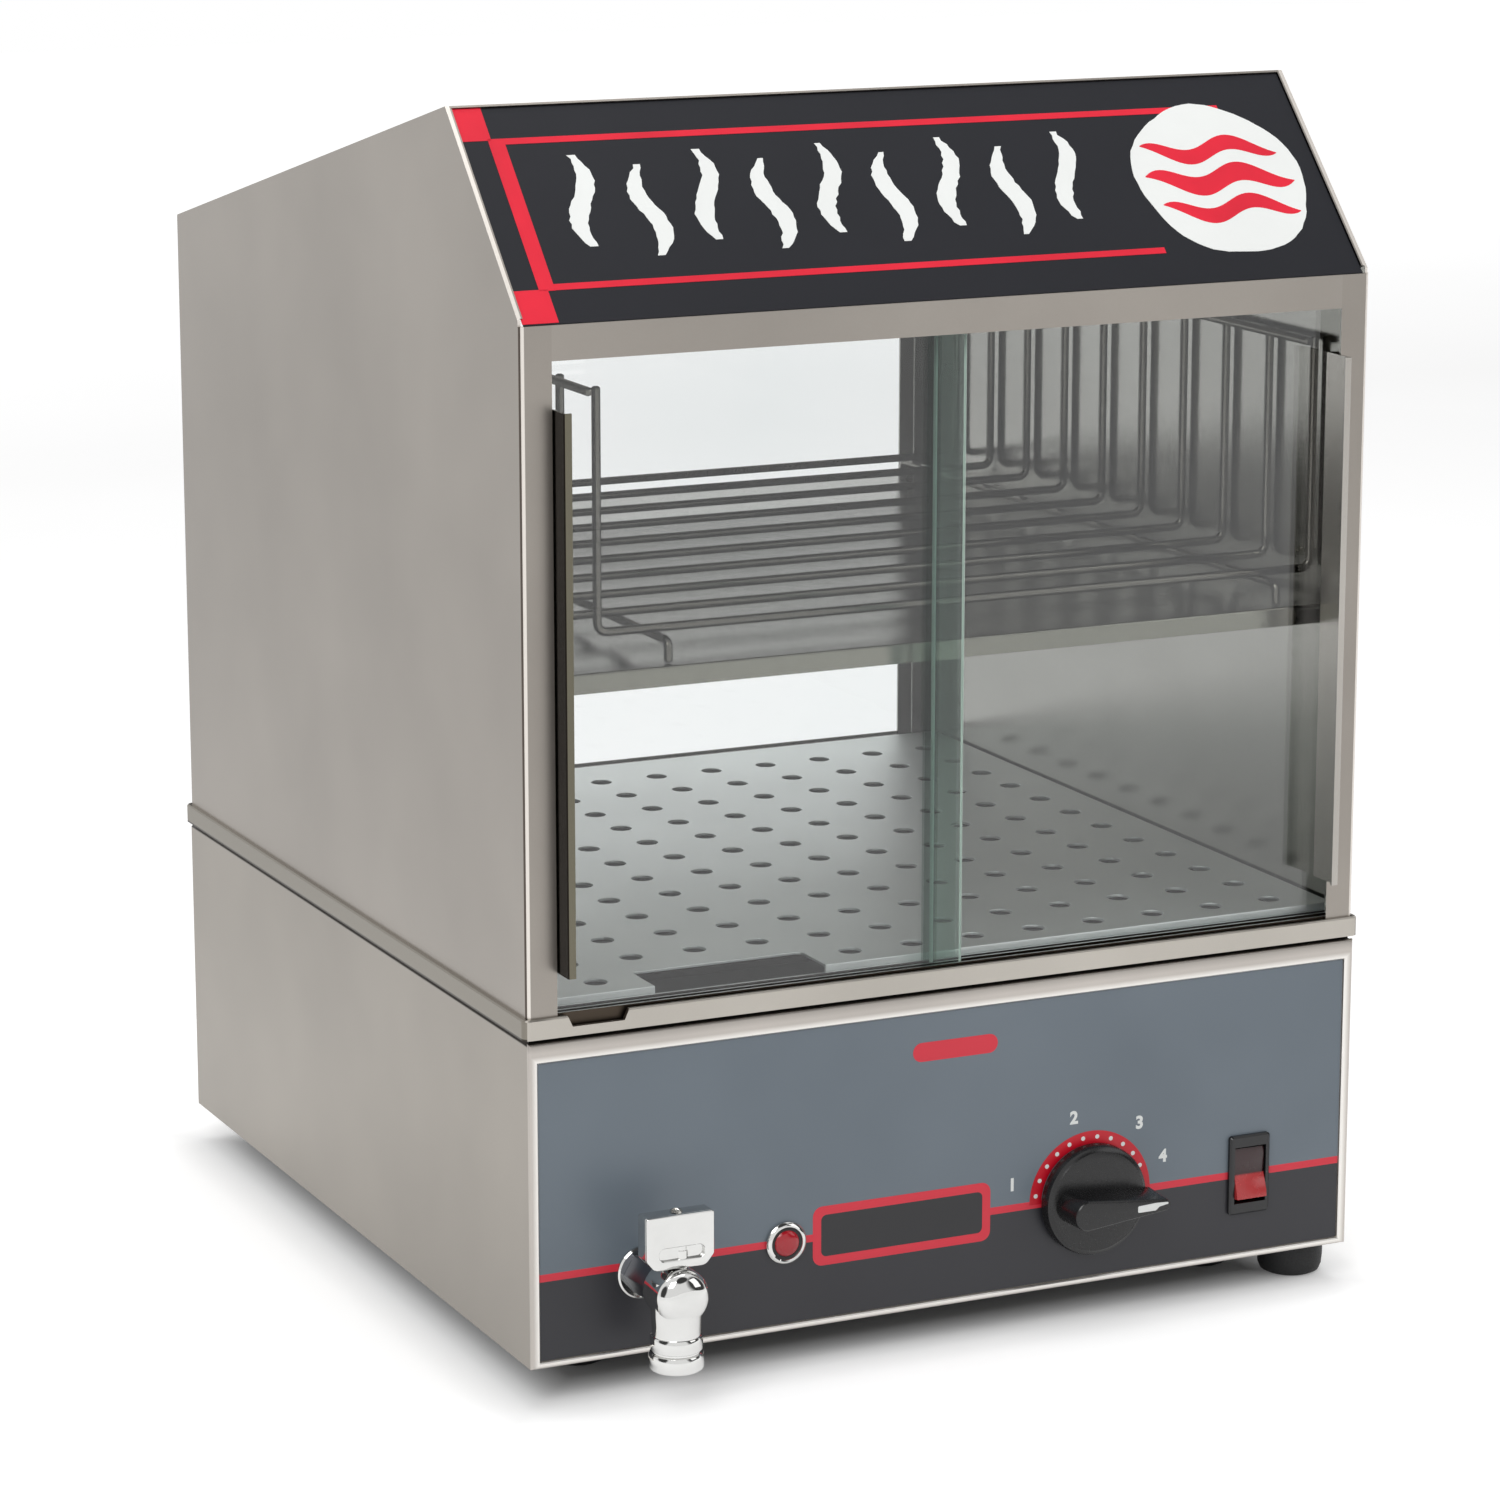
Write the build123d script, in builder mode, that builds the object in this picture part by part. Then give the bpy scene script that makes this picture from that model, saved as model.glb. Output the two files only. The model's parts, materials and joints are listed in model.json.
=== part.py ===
from build123d import *
import math
import os

os.makedirs("parts", exist_ok=True)

# Hot dog steamer, millimetres. The frame stands on the floor at z = 0 with +Z up, the
# front looks along -Y and the origin is under the middle of the whole object.

# ---- Driving dimensions -----------------------------------------------------------
width = 375.0
depth = 400.0
foot_height = 17.0
base_height = 133.6
seam = 1.6
band_height = 8.2
band_lap = 2.0
eave_height = 414.0
crest_height = 490.6
crest_back = 73.0
sheet = 1.2
post_width = 13.0
tap_reach = 41.5
gland_reach = 8.0
slip = 0.3
running = 0.05

# ---- Planes and levels worked out from them ---------------------------------------
left = -width / 2
right = width / 2
front = -(depth + gland_reach - tap_reach) / 2
rear = front + depth
middle_y = (front + rear) / 2
base_bottom = foot_height
base_top = base_bottom + base_height
pan_flange_top = base_top + sheet
hood_bottom = base_top + seam
band_top = hood_bottom + band_height
eave = base_bottom + eave_height
crest = base_bottom + crest_height
crest_y = front + crest_back

front_angle = math.atan2(crest - eave, crest_back)
rear_angle = math.atan2(crest - eave, depth - crest_back)
sign_length = math.hypot(crest - eave, crest_back)


def on_sign(along, below):
    """Point of the front slope's section: along it from the eave, and below it."""
    return (
        front + along * math.cos(front_angle) + below * math.sin(front_angle),
        eave + along * math.sin(front_angle) - below * math.cos(front_angle),
    )


def on_roof(y, below):
    """Point of the rear slope's section at a given y, square below its surface."""
    return (y, eave + (rear - y) * math.tan(rear_angle) - below / math.cos(rear_angle))


def ridge(below_sign, below_roof):
    """Point where a line under the front slope meets a line under the rear slope."""
    drop_sign = below_sign / math.cos(front_angle)
    drop_roof = below_roof / math.cos(rear_angle)
    rise = math.tan(front_angle)
    fall = math.tan(rear_angle)
    y = (fall * rear + rise * front + drop_sign - drop_roof) / (rise + fall)
    return (y, eave + rise * (y - front) - drop_sign)


def front_plane(behind):
    """Plane parallel to the front face, its normal towards -Y, behind the front face."""
    return Plane.XZ.offset(-(front + behind))


def cut_corners(points, cut):
    """The points of a bent path, each bend made of one short straight at 45 degrees."""
    path = [points[0]]
    for before, corner, after in zip(points, points[1:], points[2:]):
        for other in (before, after):
            share = cut / math.dist(corner, other)
            path.append(tuple(c + (o - c) * share for c, o in zip(corner, other)))
    return path + [points[-1]]


def save(part, name):
    part.label = name
    export_step(part, f"parts/{name}.step")


# ---- Control positions on the front, from the left face and the base's underside --
control_z = base_bottom + 37.2
tap_x = left + 51.5
tap_z = base_bottom + 36.4
lamp_x = left + 111.3
dial_x = left + 251.0
switch_x = left + 326.6

# ---- Base shell: front and sides of one sheet, and the frame welded into its top ----
frame_proud = 1.5
frame_side = 3.9
frame_top = 8.3
frame_foot = 2.6
frame_bevel = 0.5
frame_round = 1.2
shoulder = 1.0
mouth_front = 22.0
mouth_rear = 18.0
mouth_side = 20.0
rear_flange = 12.0
neck_r = 6.5
lamp_hole_r = 6.3
bush_r = 5.0
hole_play = 0.2
switch_hole = (17.6, 30.0)


def control_holes(plane):
    """Sketch of the holes that the front panel and its label share."""
    with BuildSketch(plane) as holes:
        with Locations((lamp_x, control_z)):
            Circle(lamp_hole_r)
        with Locations((dial_x, control_z)):
            Circle(bush_r + hole_play)
        with Locations((tap_x, tap_z)):
            Circle(neck_r + hole_play)
        with Locations((switch_x, control_z)):
            Rectangle(*switch_hole)
    return holes.sketch


with BuildPart() as base_shell:
    with BuildSketch(Plane.XY.offset(base_bottom)):
        with Locations((0, middle_y)):
            Rectangle(width, depth)
    extrude(amount=base_height)
    top_edges = base_shell.faces().sort_by(Axis.Z)[-1].edges().sort_by(Axis.Y)[:-1]
    chamfer(top_edges, length=shoulder)
    with BuildSketch(Plane.XY.offset(base_bottom)):
        with Locations((0, middle_y + sheet / 2)):
            Rectangle(width - 2 * sheet, depth - sheet)
    extrude(amount=base_height, mode=Mode.SUBTRACT)
    with BuildSketch(Plane.XZ.offset(-(rear - sheet))):
        for side in (-1, 1):
            flange_x = side * (width - sheet - rear_flange) / 2
            with Locations((flange_x, (base_bottom + base_top - sheet) / 2)):
                Rectangle(rear_flange, base_height - sheet)
    extrude(amount=sheet)
    extrude(control_holes(front_plane(0)), amount=-sheet, mode=Mode.SUBTRACT)
save(base_shell.part, "base_shell")

with BuildPart() as base_top_frame:
    with BuildSketch(Plane.XY.offset(base_top)):
        with Locations((0, middle_y + sheet / 2)):
            Rectangle(width - 2 * sheet, depth - sheet)
        with Locations((0, (front + mouth_front + rear - mouth_rear) / 2)):
            mouth_size = (width - 2 * mouth_side, depth - mouth_front - mouth_rear)
            Rectangle(*mouth_size, mode=Mode.SUBTRACT)
    extrude(amount=-sheet)
save(base_top_frame.part, "base_top_frame")

# ---- Frame that stands proud round the control label -------------------------------
panel_low = base_bottom + frame_foot
panel_high = base_top - frame_top
with BuildPart() as front_frame:
    with BuildSketch(front_plane(0)):
        with Locations((0, (base_bottom + base_top) / 2)):
            Rectangle(width, base_height)
    extrude(amount=frame_proud)
    fillet(front_frame.faces().sort_by(Axis.Y)[0].edges(), radius=frame_round)
    with BuildSketch(front_plane(0)):
        with Locations((0, (panel_low + panel_high) / 2)):
            Rectangle(width - 2 * frame_side, panel_high - panel_low)
    extrude(amount=frame_proud, mode=Mode.SUBTRACT)
    mouth = front_frame.faces().filter_by(Axis.Y).sort_by(Axis.Y)[0].inner_wires()[0]
    chamfer(mouth.edges(), length=frame_bevel)
save(front_frame.part, "front_frame")

# ---- Control label: bonded overlay between the frame's edges -----------------------
label_thick = 0.4
label_gap = 0.3
with BuildPart() as control_label:
    with BuildSketch(front_plane(0)):
        with Locations((0, (panel_low + panel_high) / 2)):
            Rectangle(
                width - 2 * (frame_side + label_gap),
                panel_high - panel_low - 2 * label_gap,
            )
    extrude(amount=label_thick)
    extrude(control_holes(front_plane(0)), amount=label_thick, mode=Mode.SUBTRACT)
save(control_label.part, "control_label")

# ---- Rear panel of the base, with cooling slots and the cord inlet -----------------
slot_length = 46.0
slot_width = 4.0
slot_step = 60.0
slot_pitch = 11.0
slots_x = -40.0
slots_z = base_bottom + 88.0
gland_x = right - 62.0
gland_z = base_bottom + 38.0
gland_barrel_r = 9.0
with BuildPart() as base_rear_panel:
    with BuildSketch(Plane.XZ.offset(-rear)):
        with Locations((0, (base_bottom + base_top - sheet - slip) / 2)):
            Rectangle(width - 2 * (sheet + slip), base_height - sheet - slip)
        with Locations((slots_x, slots_z)):
            with GridLocations(slot_step, slot_pitch, 3, 4):
                Rectangle(slot_length, slot_width, mode=Mode.SUBTRACT)
        with Locations((gland_x, gland_z)):
            Circle(gland_barrel_r + hole_play, mode=Mode.SUBTRACT)
    extrude(amount=sheet)
save(base_rear_panel.part, "base_rear_panel")

# ---- Bottom plate with upturned edges and cooling slots ----------------------------
edge_turn = 10.0
plate_inset = sheet + slip
plate_rear = rear - 3 * sheet
with BuildPart() as bottom_plate:
    with BuildSketch(Plane.XY.offset(base_bottom)):
        with Locations((0, (front + plate_inset + plate_rear) / 2)):
            Rectangle(width - 2 * plate_inset, plate_rear - front - plate_inset)
    extrude(amount=edge_turn)
    offset(amount=-sheet, openings=bottom_plate.faces().sort_by(Axis.Z)[-1])
    with BuildSketch(Plane.XY.offset(base_bottom)):
        with Locations((0, middle_y)):
            with GridLocations(slot_step, slot_pitch, 3, 4):
                Rectangle(slot_length, slot_width)
    extrude(amount=sheet, mode=Mode.SUBTRACT)
save(bottom_plate.part, "bottom_plate")

# ---- Five rubber feet, the fifth close to the front right corner -------------------
foot_r = 14.0
foot_bevel = 4.0
foot_sides = 24
foot_positions = {
    "foot_front_left": (left + 41.0, front + 50.0),
    "foot_front_right": (right - 42.0, front + 50.0),
    "foot_rear_left": (left + 41.0, front + 350.0),
    "foot_rear_right": (right - 42.0, front + 350.0),
    "foot_corner": (right - 15.0, front + 26.0),
}
for foot_name, foot_position in foot_positions.items():
    with BuildPart() as foot:
        with BuildSketch(Plane.XY):
            with Locations(foot_position):
                RegularPolygon(foot_r, foot_sides)
        extrude(amount=foot_height)
        chamfer(foot.faces().sort_by(Axis.Z)[0].edges(), length=foot_bevel)
    save(foot.part, foot_name)

# ---- Water pan: folded tank hung by its flange on the base's top flange ------------
pan_floor = base_bottom + 71.0
pan_lip = 1.2
pan_width = width - 2 * (mouth_side + 1.0)
pan_front = front + mouth_front + 1.0
pan_rear = rear - mouth_rear - 1.0
pan_middle = (pan_front + pan_rear) / 2
pan_length = pan_rear - pan_front
tube_sides = 6
turned_sides = 24
drain_x = tap_x
drain_y = front + 46.0
pipe_r = 6.5
pipe_wall = 1.5
element_z = pan_floor + 15.0
element_r = 4.0
element_front_y = front + 92.0
element_rear_y = front + 308.0
with BuildPart() as water_pan:
    with BuildSketch(Plane.XY.offset(pan_floor + sheet)):
        with Locations((0, pan_middle)):
            Rectangle(pan_width, pan_length)
            Rectangle(pan_width - 2 * sheet, pan_length - 2 * sheet, mode=Mode.SUBTRACT)
    extrude(amount=pan_flange_top - pan_floor - sheet)
    with BuildSketch(Plane.YZ.offset(pan_width / 2 - sheet)):
        with Locations((element_front_y, element_z), (element_rear_y, element_z)):
            RegularPolygon(element_r, tube_sides)
    extrude(amount=sheet, mode=Mode.SUBTRACT)
save(water_pan.part, "water_pan")

with BuildPart() as pan_bottom:
    with BuildSketch(Plane.XY.offset(pan_floor)):
        with Locations((0, pan_middle)):
            Rectangle(pan_width, pan_length)
        with Locations((drain_x, drain_y)):
            RegularPolygon(pipe_r - pipe_wall, tube_sides, mode=Mode.SUBTRACT)
    extrude(amount=sheet)
save(pan_bottom.part, "pan_bottom")

with BuildPart() as pan_flange:
    with BuildSketch(Plane.XY.offset(base_top)):
        with Locations((0, middle_y)):
            Rectangle(width - 2 * pan_lip, depth - 2 * pan_lip)
        with Locations((0, pan_middle)):
            Rectangle(pan_width, pan_length, mode=Mode.SUBTRACT)
    extrude(amount=sheet)
save(pan_flange.part, "pan_flange")

# ---- Tubular heating element: hairpin loops through the pan's right wall -----------
element_bend = 12.0
element_left_x = -pan_width / 2 + 42.0
element_right_x = pan_width / 2 - 44.0
element_end_x = pan_width / 2 + 9.0
element_step = (element_rear_y - element_front_y) / 3
element_route = [
    (element_end_x, element_front_y),
    (element_left_x, element_front_y),
    (element_left_x, element_front_y + element_step),
    (element_right_x, element_front_y + element_step),
    (element_right_x, element_rear_y - element_step),
    (element_left_x, element_rear_y - element_step),
    (element_left_x, element_rear_y),
    (element_end_x, element_rear_y),
]
with BuildPart() as heating_element:
    with BuildLine(Plane.XY.offset(element_z)):
        Polyline(*cut_corners(element_route, element_bend))
    with BuildSketch(Plane.YZ.offset(element_end_x)):
        with Locations((element_front_y, element_z)):
            RegularPolygon(element_r, tube_sides)
    sweep(transition=Transition.RIGHT)
save(heating_element.part, "heating_element")

# ---- Drain tap: neck with its rose, ball body with spout, stem and box handle -------
tap_y = front - tap_reach + 11.0
rose_r = 10.5
rose_thick = 1.2
neck_hex_r = 9.4
neck_hex_long = 9.0
neck_inside = 14.0
water_r = 3.5
ball_r = 10.5
ball_half = 9.0
ball_bevel = 4.0
ball_sides = 16
ball_z = base_bottom + 35.0
spout_r = 9.0
spout_z = base_bottom + 18.0
spout_bore_r = 4.2
bonnet_r = 5.0
bonnet_z = base_bottom + 49.5
stem_r = 2.5
stem_foot_z = ball_z + 5.0
with BuildPart() as valve_ball:
    with BuildSketch(Plane.XY.offset(ball_z - ball_half)):
        with Locations((tap_x, tap_y)):
            RegularPolygon(ball_r, ball_sides)
    extrude(amount=2 * ball_half)
    chamfer(valve_ball.faces().sort_by(Axis.Z)[0].edges(), length=ball_bevel)
    chamfer(valve_ball.faces().sort_by(Axis.Z)[-1].edges(), length=ball_bevel)

with BuildPart() as tap_neck:
    with BuildSketch(front_plane(neck_inside)):
        with Locations((tap_x, tap_z)):
            RegularPolygon(neck_r, turned_sides)
    extrude(amount=neck_inside + front - tap_y)
    with BuildSketch(front_plane(-label_thick)):
        with Locations((tap_x, tap_z)):
            RegularPolygon(rose_r, turned_sides)
    extrude(amount=rose_thick)
    with BuildSketch(front_plane(-label_thick - rose_thick)):
        with Locations((tap_x, tap_z)):
            RegularPolygon(neck_hex_r, 6)
    extrude(amount=neck_hex_long)
    with BuildSketch(front_plane(neck_inside)):
        with Locations((tap_x, tap_z)):
            Circle(water_r)
    extrude(amount=neck_inside + front - tap_y, mode=Mode.SUBTRACT)
    add(valve_ball.part, mode=Mode.SUBTRACT)
save(tap_neck.part, "tap_neck")

with BuildPart() as tap_body:
    add(valve_ball.part)
    with BuildSketch(Plane.XY.offset(spout_z)):
        with Locations((tap_x, tap_y)):
            RegularPolygon(spout_r, turned_sides)
    extrude(amount=ball_z - spout_z)
    with BuildSketch(Plane.XY.offset(ball_z)):
        with Locations((tap_x, tap_y)):
            Circle(bonnet_r)
    extrude(amount=bonnet_z - ball_z)
    with BuildSketch(Plane.XY.offset(spout_z)):
        with Locations((tap_x, tap_y)):
            Circle(spout_bore_r)
    extrude(amount=ball_z - spout_z, mode=Mode.SUBTRACT)
    with BuildSketch(Plane.XY.offset(stem_foot_z)):
        with Locations((tap_x, tap_y)):
            Circle(stem_r + running)
    extrude(amount=bonnet_z - stem_foot_z, mode=Mode.SUBTRACT)
save(tap_body.part, "tap_body")

collar_r = 11.0
collar_step_r = 10.3
collar_bore_r = 5.0
collar_bottom = base_bottom + 4.5
collar_step_z = base_bottom + 11.0
with BuildPart() as spout_collar:
    with BuildSketch(Plane.XY.offset(collar_bottom)):
        with Locations((tap_x, tap_y)):
            RegularPolygon(collar_step_r, turned_sides)
    extrude(amount=collar_step_z - collar_bottom)
    with BuildSketch(Plane.XY.offset(collar_step_z)):
        with Locations((tap_x, tap_y)):
            RegularPolygon(collar_r, turned_sides)
    extrude(amount=spout_z - collar_step_z)
    with BuildSketch(Plane.XY.offset(collar_bottom)):
        with Locations((tap_x, tap_y)):
            Circle(collar_bore_r)
    extrude(amount=spout_z - collar_bottom, mode=Mode.SUBTRACT)
save(spout_collar.part, "spout_collar")

handle_wide = 29.0
handle_deep = 14.0
handle_low = base_bottom + 45.8
handle_high = base_bottom + 65.0
handle_pocket_r = bonnet_r + 0.4
handle_corner = 2.0
handle_edge = 0.8
handle_crown = 3.0
handle_gap = 1.0
with BuildPart() as tap_stem:
    with BuildSketch(Plane.XY.offset(stem_foot_z + running)):
        with Locations((tap_x, tap_y)):
            Circle(stem_r)
    extrude(amount=handle_high - handle_crown - stem_foot_z - running)
save(tap_stem.part, "tap_stem")

with BuildPart() as tap_handle:
    with BuildSketch(Plane.XY.offset(handle_low)) as handle_section:
        with Locations((tap_x, tap_y)):
            Rectangle(handle_wide, handle_deep)
        chamfer(handle_section.vertices(), length=handle_corner)
    extrude(amount=handle_high - handle_low)
    chamfer(tap_handle.faces().sort_by(Axis.Z)[-1].edges(), length=handle_edge)
    with BuildSketch(Plane.XY.offset(handle_low)):
        with Locations((tap_x, tap_y)):
            Circle(handle_pocket_r)
    extrude(amount=bonnet_z + handle_gap - handle_low, mode=Mode.SUBTRACT)
    with BuildSketch(Plane.XY.offset(handle_low)):
        with Locations((tap_x, tap_y)):
            Circle(stem_r)
    extrude(amount=handle_high - handle_crown - handle_low, mode=Mode.SUBTRACT)
save(tap_handle.part, "tap_handle")

# ---- Drain pipe from the pan's floor to the back of the tap ------------------------
pipe_bend = 9.0
pipe_route = [(drain_y, pan_floor), (drain_y, tap_z), (front + neck_inside, tap_z)]
with BuildPart() as drain_pipe:
    with BuildLine(Plane.YZ.offset(drain_x)):
        Polyline(*cut_corners(pipe_route, pipe_bend))
    with BuildSketch(Plane.XY.offset(pan_floor)):
        with Locations((drain_x, drain_y)):
            RegularPolygon(pipe_r, tube_sides)
            RegularPolygon(pipe_r - pipe_wall, tube_sides, mode=Mode.SUBTRACT)
    sweep(transition=Transition.RIGHT)
save(drain_pipe.part, "drain_pipe")

# ---- Thermostat: body behind the panel, bush through it, turning shaft -------------
shaft_r = 3.0
knob_gap = 1.0
shaft_front = 20.0
shaft_inside = 11.0
thermostat_side = 36.0
thermostat_deep = 22.0
with BuildPart() as thermostat_body:
    with BuildSketch(front_plane(sheet)):
        with Locations((dial_x, control_z)):
            Rectangle(thermostat_side, thermostat_side)
    extrude(amount=-thermostat_deep)
    with BuildSketch(front_plane(sheet)):
        with Locations((dial_x, control_z)):
            Circle(bush_r)
    extrude(amount=sheet + label_thick)
    with BuildSketch(front_plane(-label_thick)):
        with Locations((dial_x, control_z)):
            Circle(shaft_r + running)
    extrude(amount=-(label_thick + sheet + shaft_inside + running), mode=Mode.SUBTRACT)
save(thermostat_body.part, "thermostat_body")

with BuildPart() as thermostat_shaft:
    with BuildSketch(front_plane(-shaft_front)):
        with Locations((dial_x, control_z)):
            Circle(shaft_r)
    extrude(amount=-(shaft_front + sheet + shaft_inside))
save(thermostat_shaft.part, "thermostat_shaft")

# ---- Dial knob: skirt disc and a tapering grip bar ---------------------------------
knob_r = 22.5
knob_skirt = 8.0
knob_height = 24.0
grip_round_x = -12.5
grip_round_r = 7.5
grip_tip_x = 20.9
grip_tip_r = 3.1
grip_draft = 3.0
grip_round_sides = 12
grip_tip_sides = 6
knob_edge = 1.0
with BuildPart() as dial_knob:
    with BuildSketch(front_plane(-label_thick - knob_gap)):
        with Locations((dial_x, control_z)):
            Circle(knob_r)
    extrude(amount=knob_skirt - label_thick - knob_gap)
    with BuildSketch(front_plane(-knob_skirt)):
        with Locations((dial_x + grip_round_x, control_z)):
            RegularPolygon(grip_round_r, grip_round_sides)
        with Locations((dial_x + grip_tip_x, control_z)):
            RegularPolygon(grip_tip_r, grip_tip_sides)
        make_hull()
    extrude(amount=knob_height - knob_skirt, taper=grip_draft)
    chamfer(dial_knob.faces().sort_by(Axis.Y)[0].edges(), length=knob_edge)
    with BuildSketch(front_plane(-label_thick - knob_gap)):
        with Locations((dial_x, control_z)):
            Circle(shaft_r)
    extrude(amount=shaft_front - label_thick - knob_gap, mode=Mode.SUBTRACT)
save(dial_knob.part, "dial_knob")

# ---- Rocker switch: snap-in housing with bezel, and the rocker ---------------------
bezel_size = (19.3, 34.4)
bezel_corner = 1.5
bezel_edge = 0.8
bezel_proud = 2.6
housing_size = (17.3, 29.6)
housing_deep = 20.0
rocker_r = 12.0
rocker_wide = 14.4
rocker_pivot = 2.0
rocker_rest = 9.0
rocker_well = 16.0
terminal_size = (6.3, 0.8)
terminal_long = 8.0
terminal_pitch = 9.0
with BuildPart() as switch_housing:
    with BuildSketch(front_plane(-label_thick)):
        with Locations((switch_x, control_z)):
            RectangleRounded(*bezel_size, bezel_corner)
    extrude(amount=bezel_proud - label_thick)
    chamfer(switch_housing.faces().sort_by(Axis.Y)[0].edges(), length=bezel_edge)
    with BuildSketch(front_plane(-label_thick)):
        with Locations((switch_x, control_z)):
            Rectangle(*housing_size)
    extrude(amount=-housing_deep)
    with BuildSketch(front_plane(-bezel_proud)):
        with Locations((switch_x, control_z)):
            Rectangle(rocker_wide + 2 * slip, 2 * (rocker_r + slip))
    extrude(amount=-rocker_well, mode=Mode.SUBTRACT)
    with BuildSketch(front_plane(housing_deep - label_thick)):
        with Locations((switch_x, control_z)):
            with GridLocations(0, terminal_pitch, 1, 3):
                Rectangle(*terminal_size)
    extrude(amount=-terminal_long)
save(switch_housing.part, "switch_housing")

rocker_face_edge = 4.6
rocker_face_middle = 3.4
rocker_back = 3.0
with BuildPart() as switch_rocker:
    with BuildSketch(Plane.YZ.offset(switch_x - rocker_wide / 2)):
        with Locations((front + rocker_pivot, control_z)):
            Circle(rocker_r)
            Polygon(
                (-rocker_face_edge, rocker_r),
                (-rocker_face_middle, 0),
                (-rocker_face_edge, -rocker_r),
                (rocker_back, -rocker_r),
                (rocker_back, rocker_r),
                rotation=-rocker_rest,
                align=None,
                mode=Mode.INTERSECT,
            )
    extrude(amount=rocker_wide)
save(switch_rocker.part, "switch_rocker")

# ---- Indicator lamp: chrome ring, and a lens whose stub runs through the panel ------
lamp_ring_r = 8.9
lamp_ring_proud = 2.8
lens_r = 6.5
lens_proud = 3.8
lens_stub_r = 5.0
lamp_inside = 12.0
with BuildPart() as lamp_bezel:
    with BuildSketch(front_plane(-label_thick)):
        with Locations((lamp_x, control_z)):
            RegularPolygon(lamp_ring_r, turned_sides)
    extrude(amount=lamp_ring_proud - label_thick)
    with BuildSketch(front_plane(-lamp_ring_proud)):
        with Locations((lamp_x, control_z)):
            Circle(lens_r)
    extrude(amount=label_thick - lamp_ring_proud, mode=Mode.SUBTRACT)
save(lamp_bezel.part, "lamp_bezel")

with BuildPart() as lamp_lens:
    with BuildSketch(front_plane(-label_thick)):
        with Locations((lamp_x, control_z)):
            Circle(lens_r)
    extrude(amount=lens_proud - label_thick)
    with BuildSketch(front_plane(-label_thick)):
        with Locations((lamp_x, control_z)):
            RegularPolygon(lens_stub_r, tube_sides)
    extrude(amount=-lamp_inside)
save(lamp_lens.part, "lamp_lens")

# ---- Cord gland in the rear panel --------------------------------------------------
gland_inside = 12.0
gland_hex_r = 13.0
gland_hex_h = 5.0
gland_dome_r = 10.0
gland_edge = 1.5
gland_sides = 16
cord_bore_r = 4.2
with BuildPart() as cord_gland:
    with BuildSketch(Plane.XZ.offset(-(rear + gland_hex_h))):
        with Locations((gland_x, gland_z)):
            RegularPolygon(gland_hex_r, 6)
    extrude(amount=gland_hex_h)
    with BuildSketch(Plane.XZ.offset(-(rear + gland_reach))):
        with Locations((gland_x, gland_z)):
            RegularPolygon(gland_dome_r, gland_sides)
    extrude(amount=gland_reach - gland_hex_h)
    chamfer(cord_gland.faces().sort_by(Axis.Y)[-1].edges(), length=gland_edge)
    with BuildSketch(Plane.XZ.offset(-rear)):
        with Locations((gland_x, gland_z)):
            RegularPolygon(gland_barrel_r, turned_sides)
    extrude(amount=gland_inside)
    with BuildSketch(Plane.XZ.offset(-(rear + gland_reach))):
        with Locations((gland_x, gland_z)):
            Circle(cord_bore_r)
    extrude(amount=gland_reach + gland_inside, mode=Mode.SUBTRACT)
save(cord_gland.part, "cord_gland")

# ---- Hood band: ring round the hood's foot, with an inward flange at its bottom ----
band_corner = 3.0
band_edge = 0.6
flange_side = 2.4
track_rear = 12.6
flange_rear = 15.0
notch_left = left + 16.6
notch_right = left + 42.7
notch_deep = 4.4
notch_slant = 2.0
with BuildPart() as hood_band:
    with BuildSketch(Plane.XY.offset(hood_bottom)):
        with Locations((0, middle_y)):
            RectangleRounded(width + 2 * band_lap, depth + 2 * band_lap, band_corner)
    extrude(amount=band_height)
    chamfer(hood_band.faces().sort_by(Axis.Z)[-1].edges(), length=band_edge)
    with BuildSketch(Plane.XY.offset(hood_bottom + sheet)):
        with Locations((0, middle_y)):
            Rectangle(width, depth)
    extrude(amount=band_height, mode=Mode.SUBTRACT)
    with BuildSketch(Plane.XY.offset(hood_bottom)):
        with Locations((0, (front + track_rear + rear - flange_rear) / 2)):
            Rectangle(width - 2 * flange_side, depth - track_rear - flange_rear)
    extrude(amount=sheet, mode=Mode.SUBTRACT)
    with BuildSketch(front_plane(-band_lap)):
        Polygon(
            (notch_left, band_top),
            (notch_left + notch_slant, band_top - notch_deep),
            (notch_right - notch_slant, band_top - notch_deep),
            (notch_right, band_top),
            align=None,
        )
    extrude(amount=-band_lap, mode=Mode.SUBTRACT)
save(hood_band.part, "hood_band")

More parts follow.
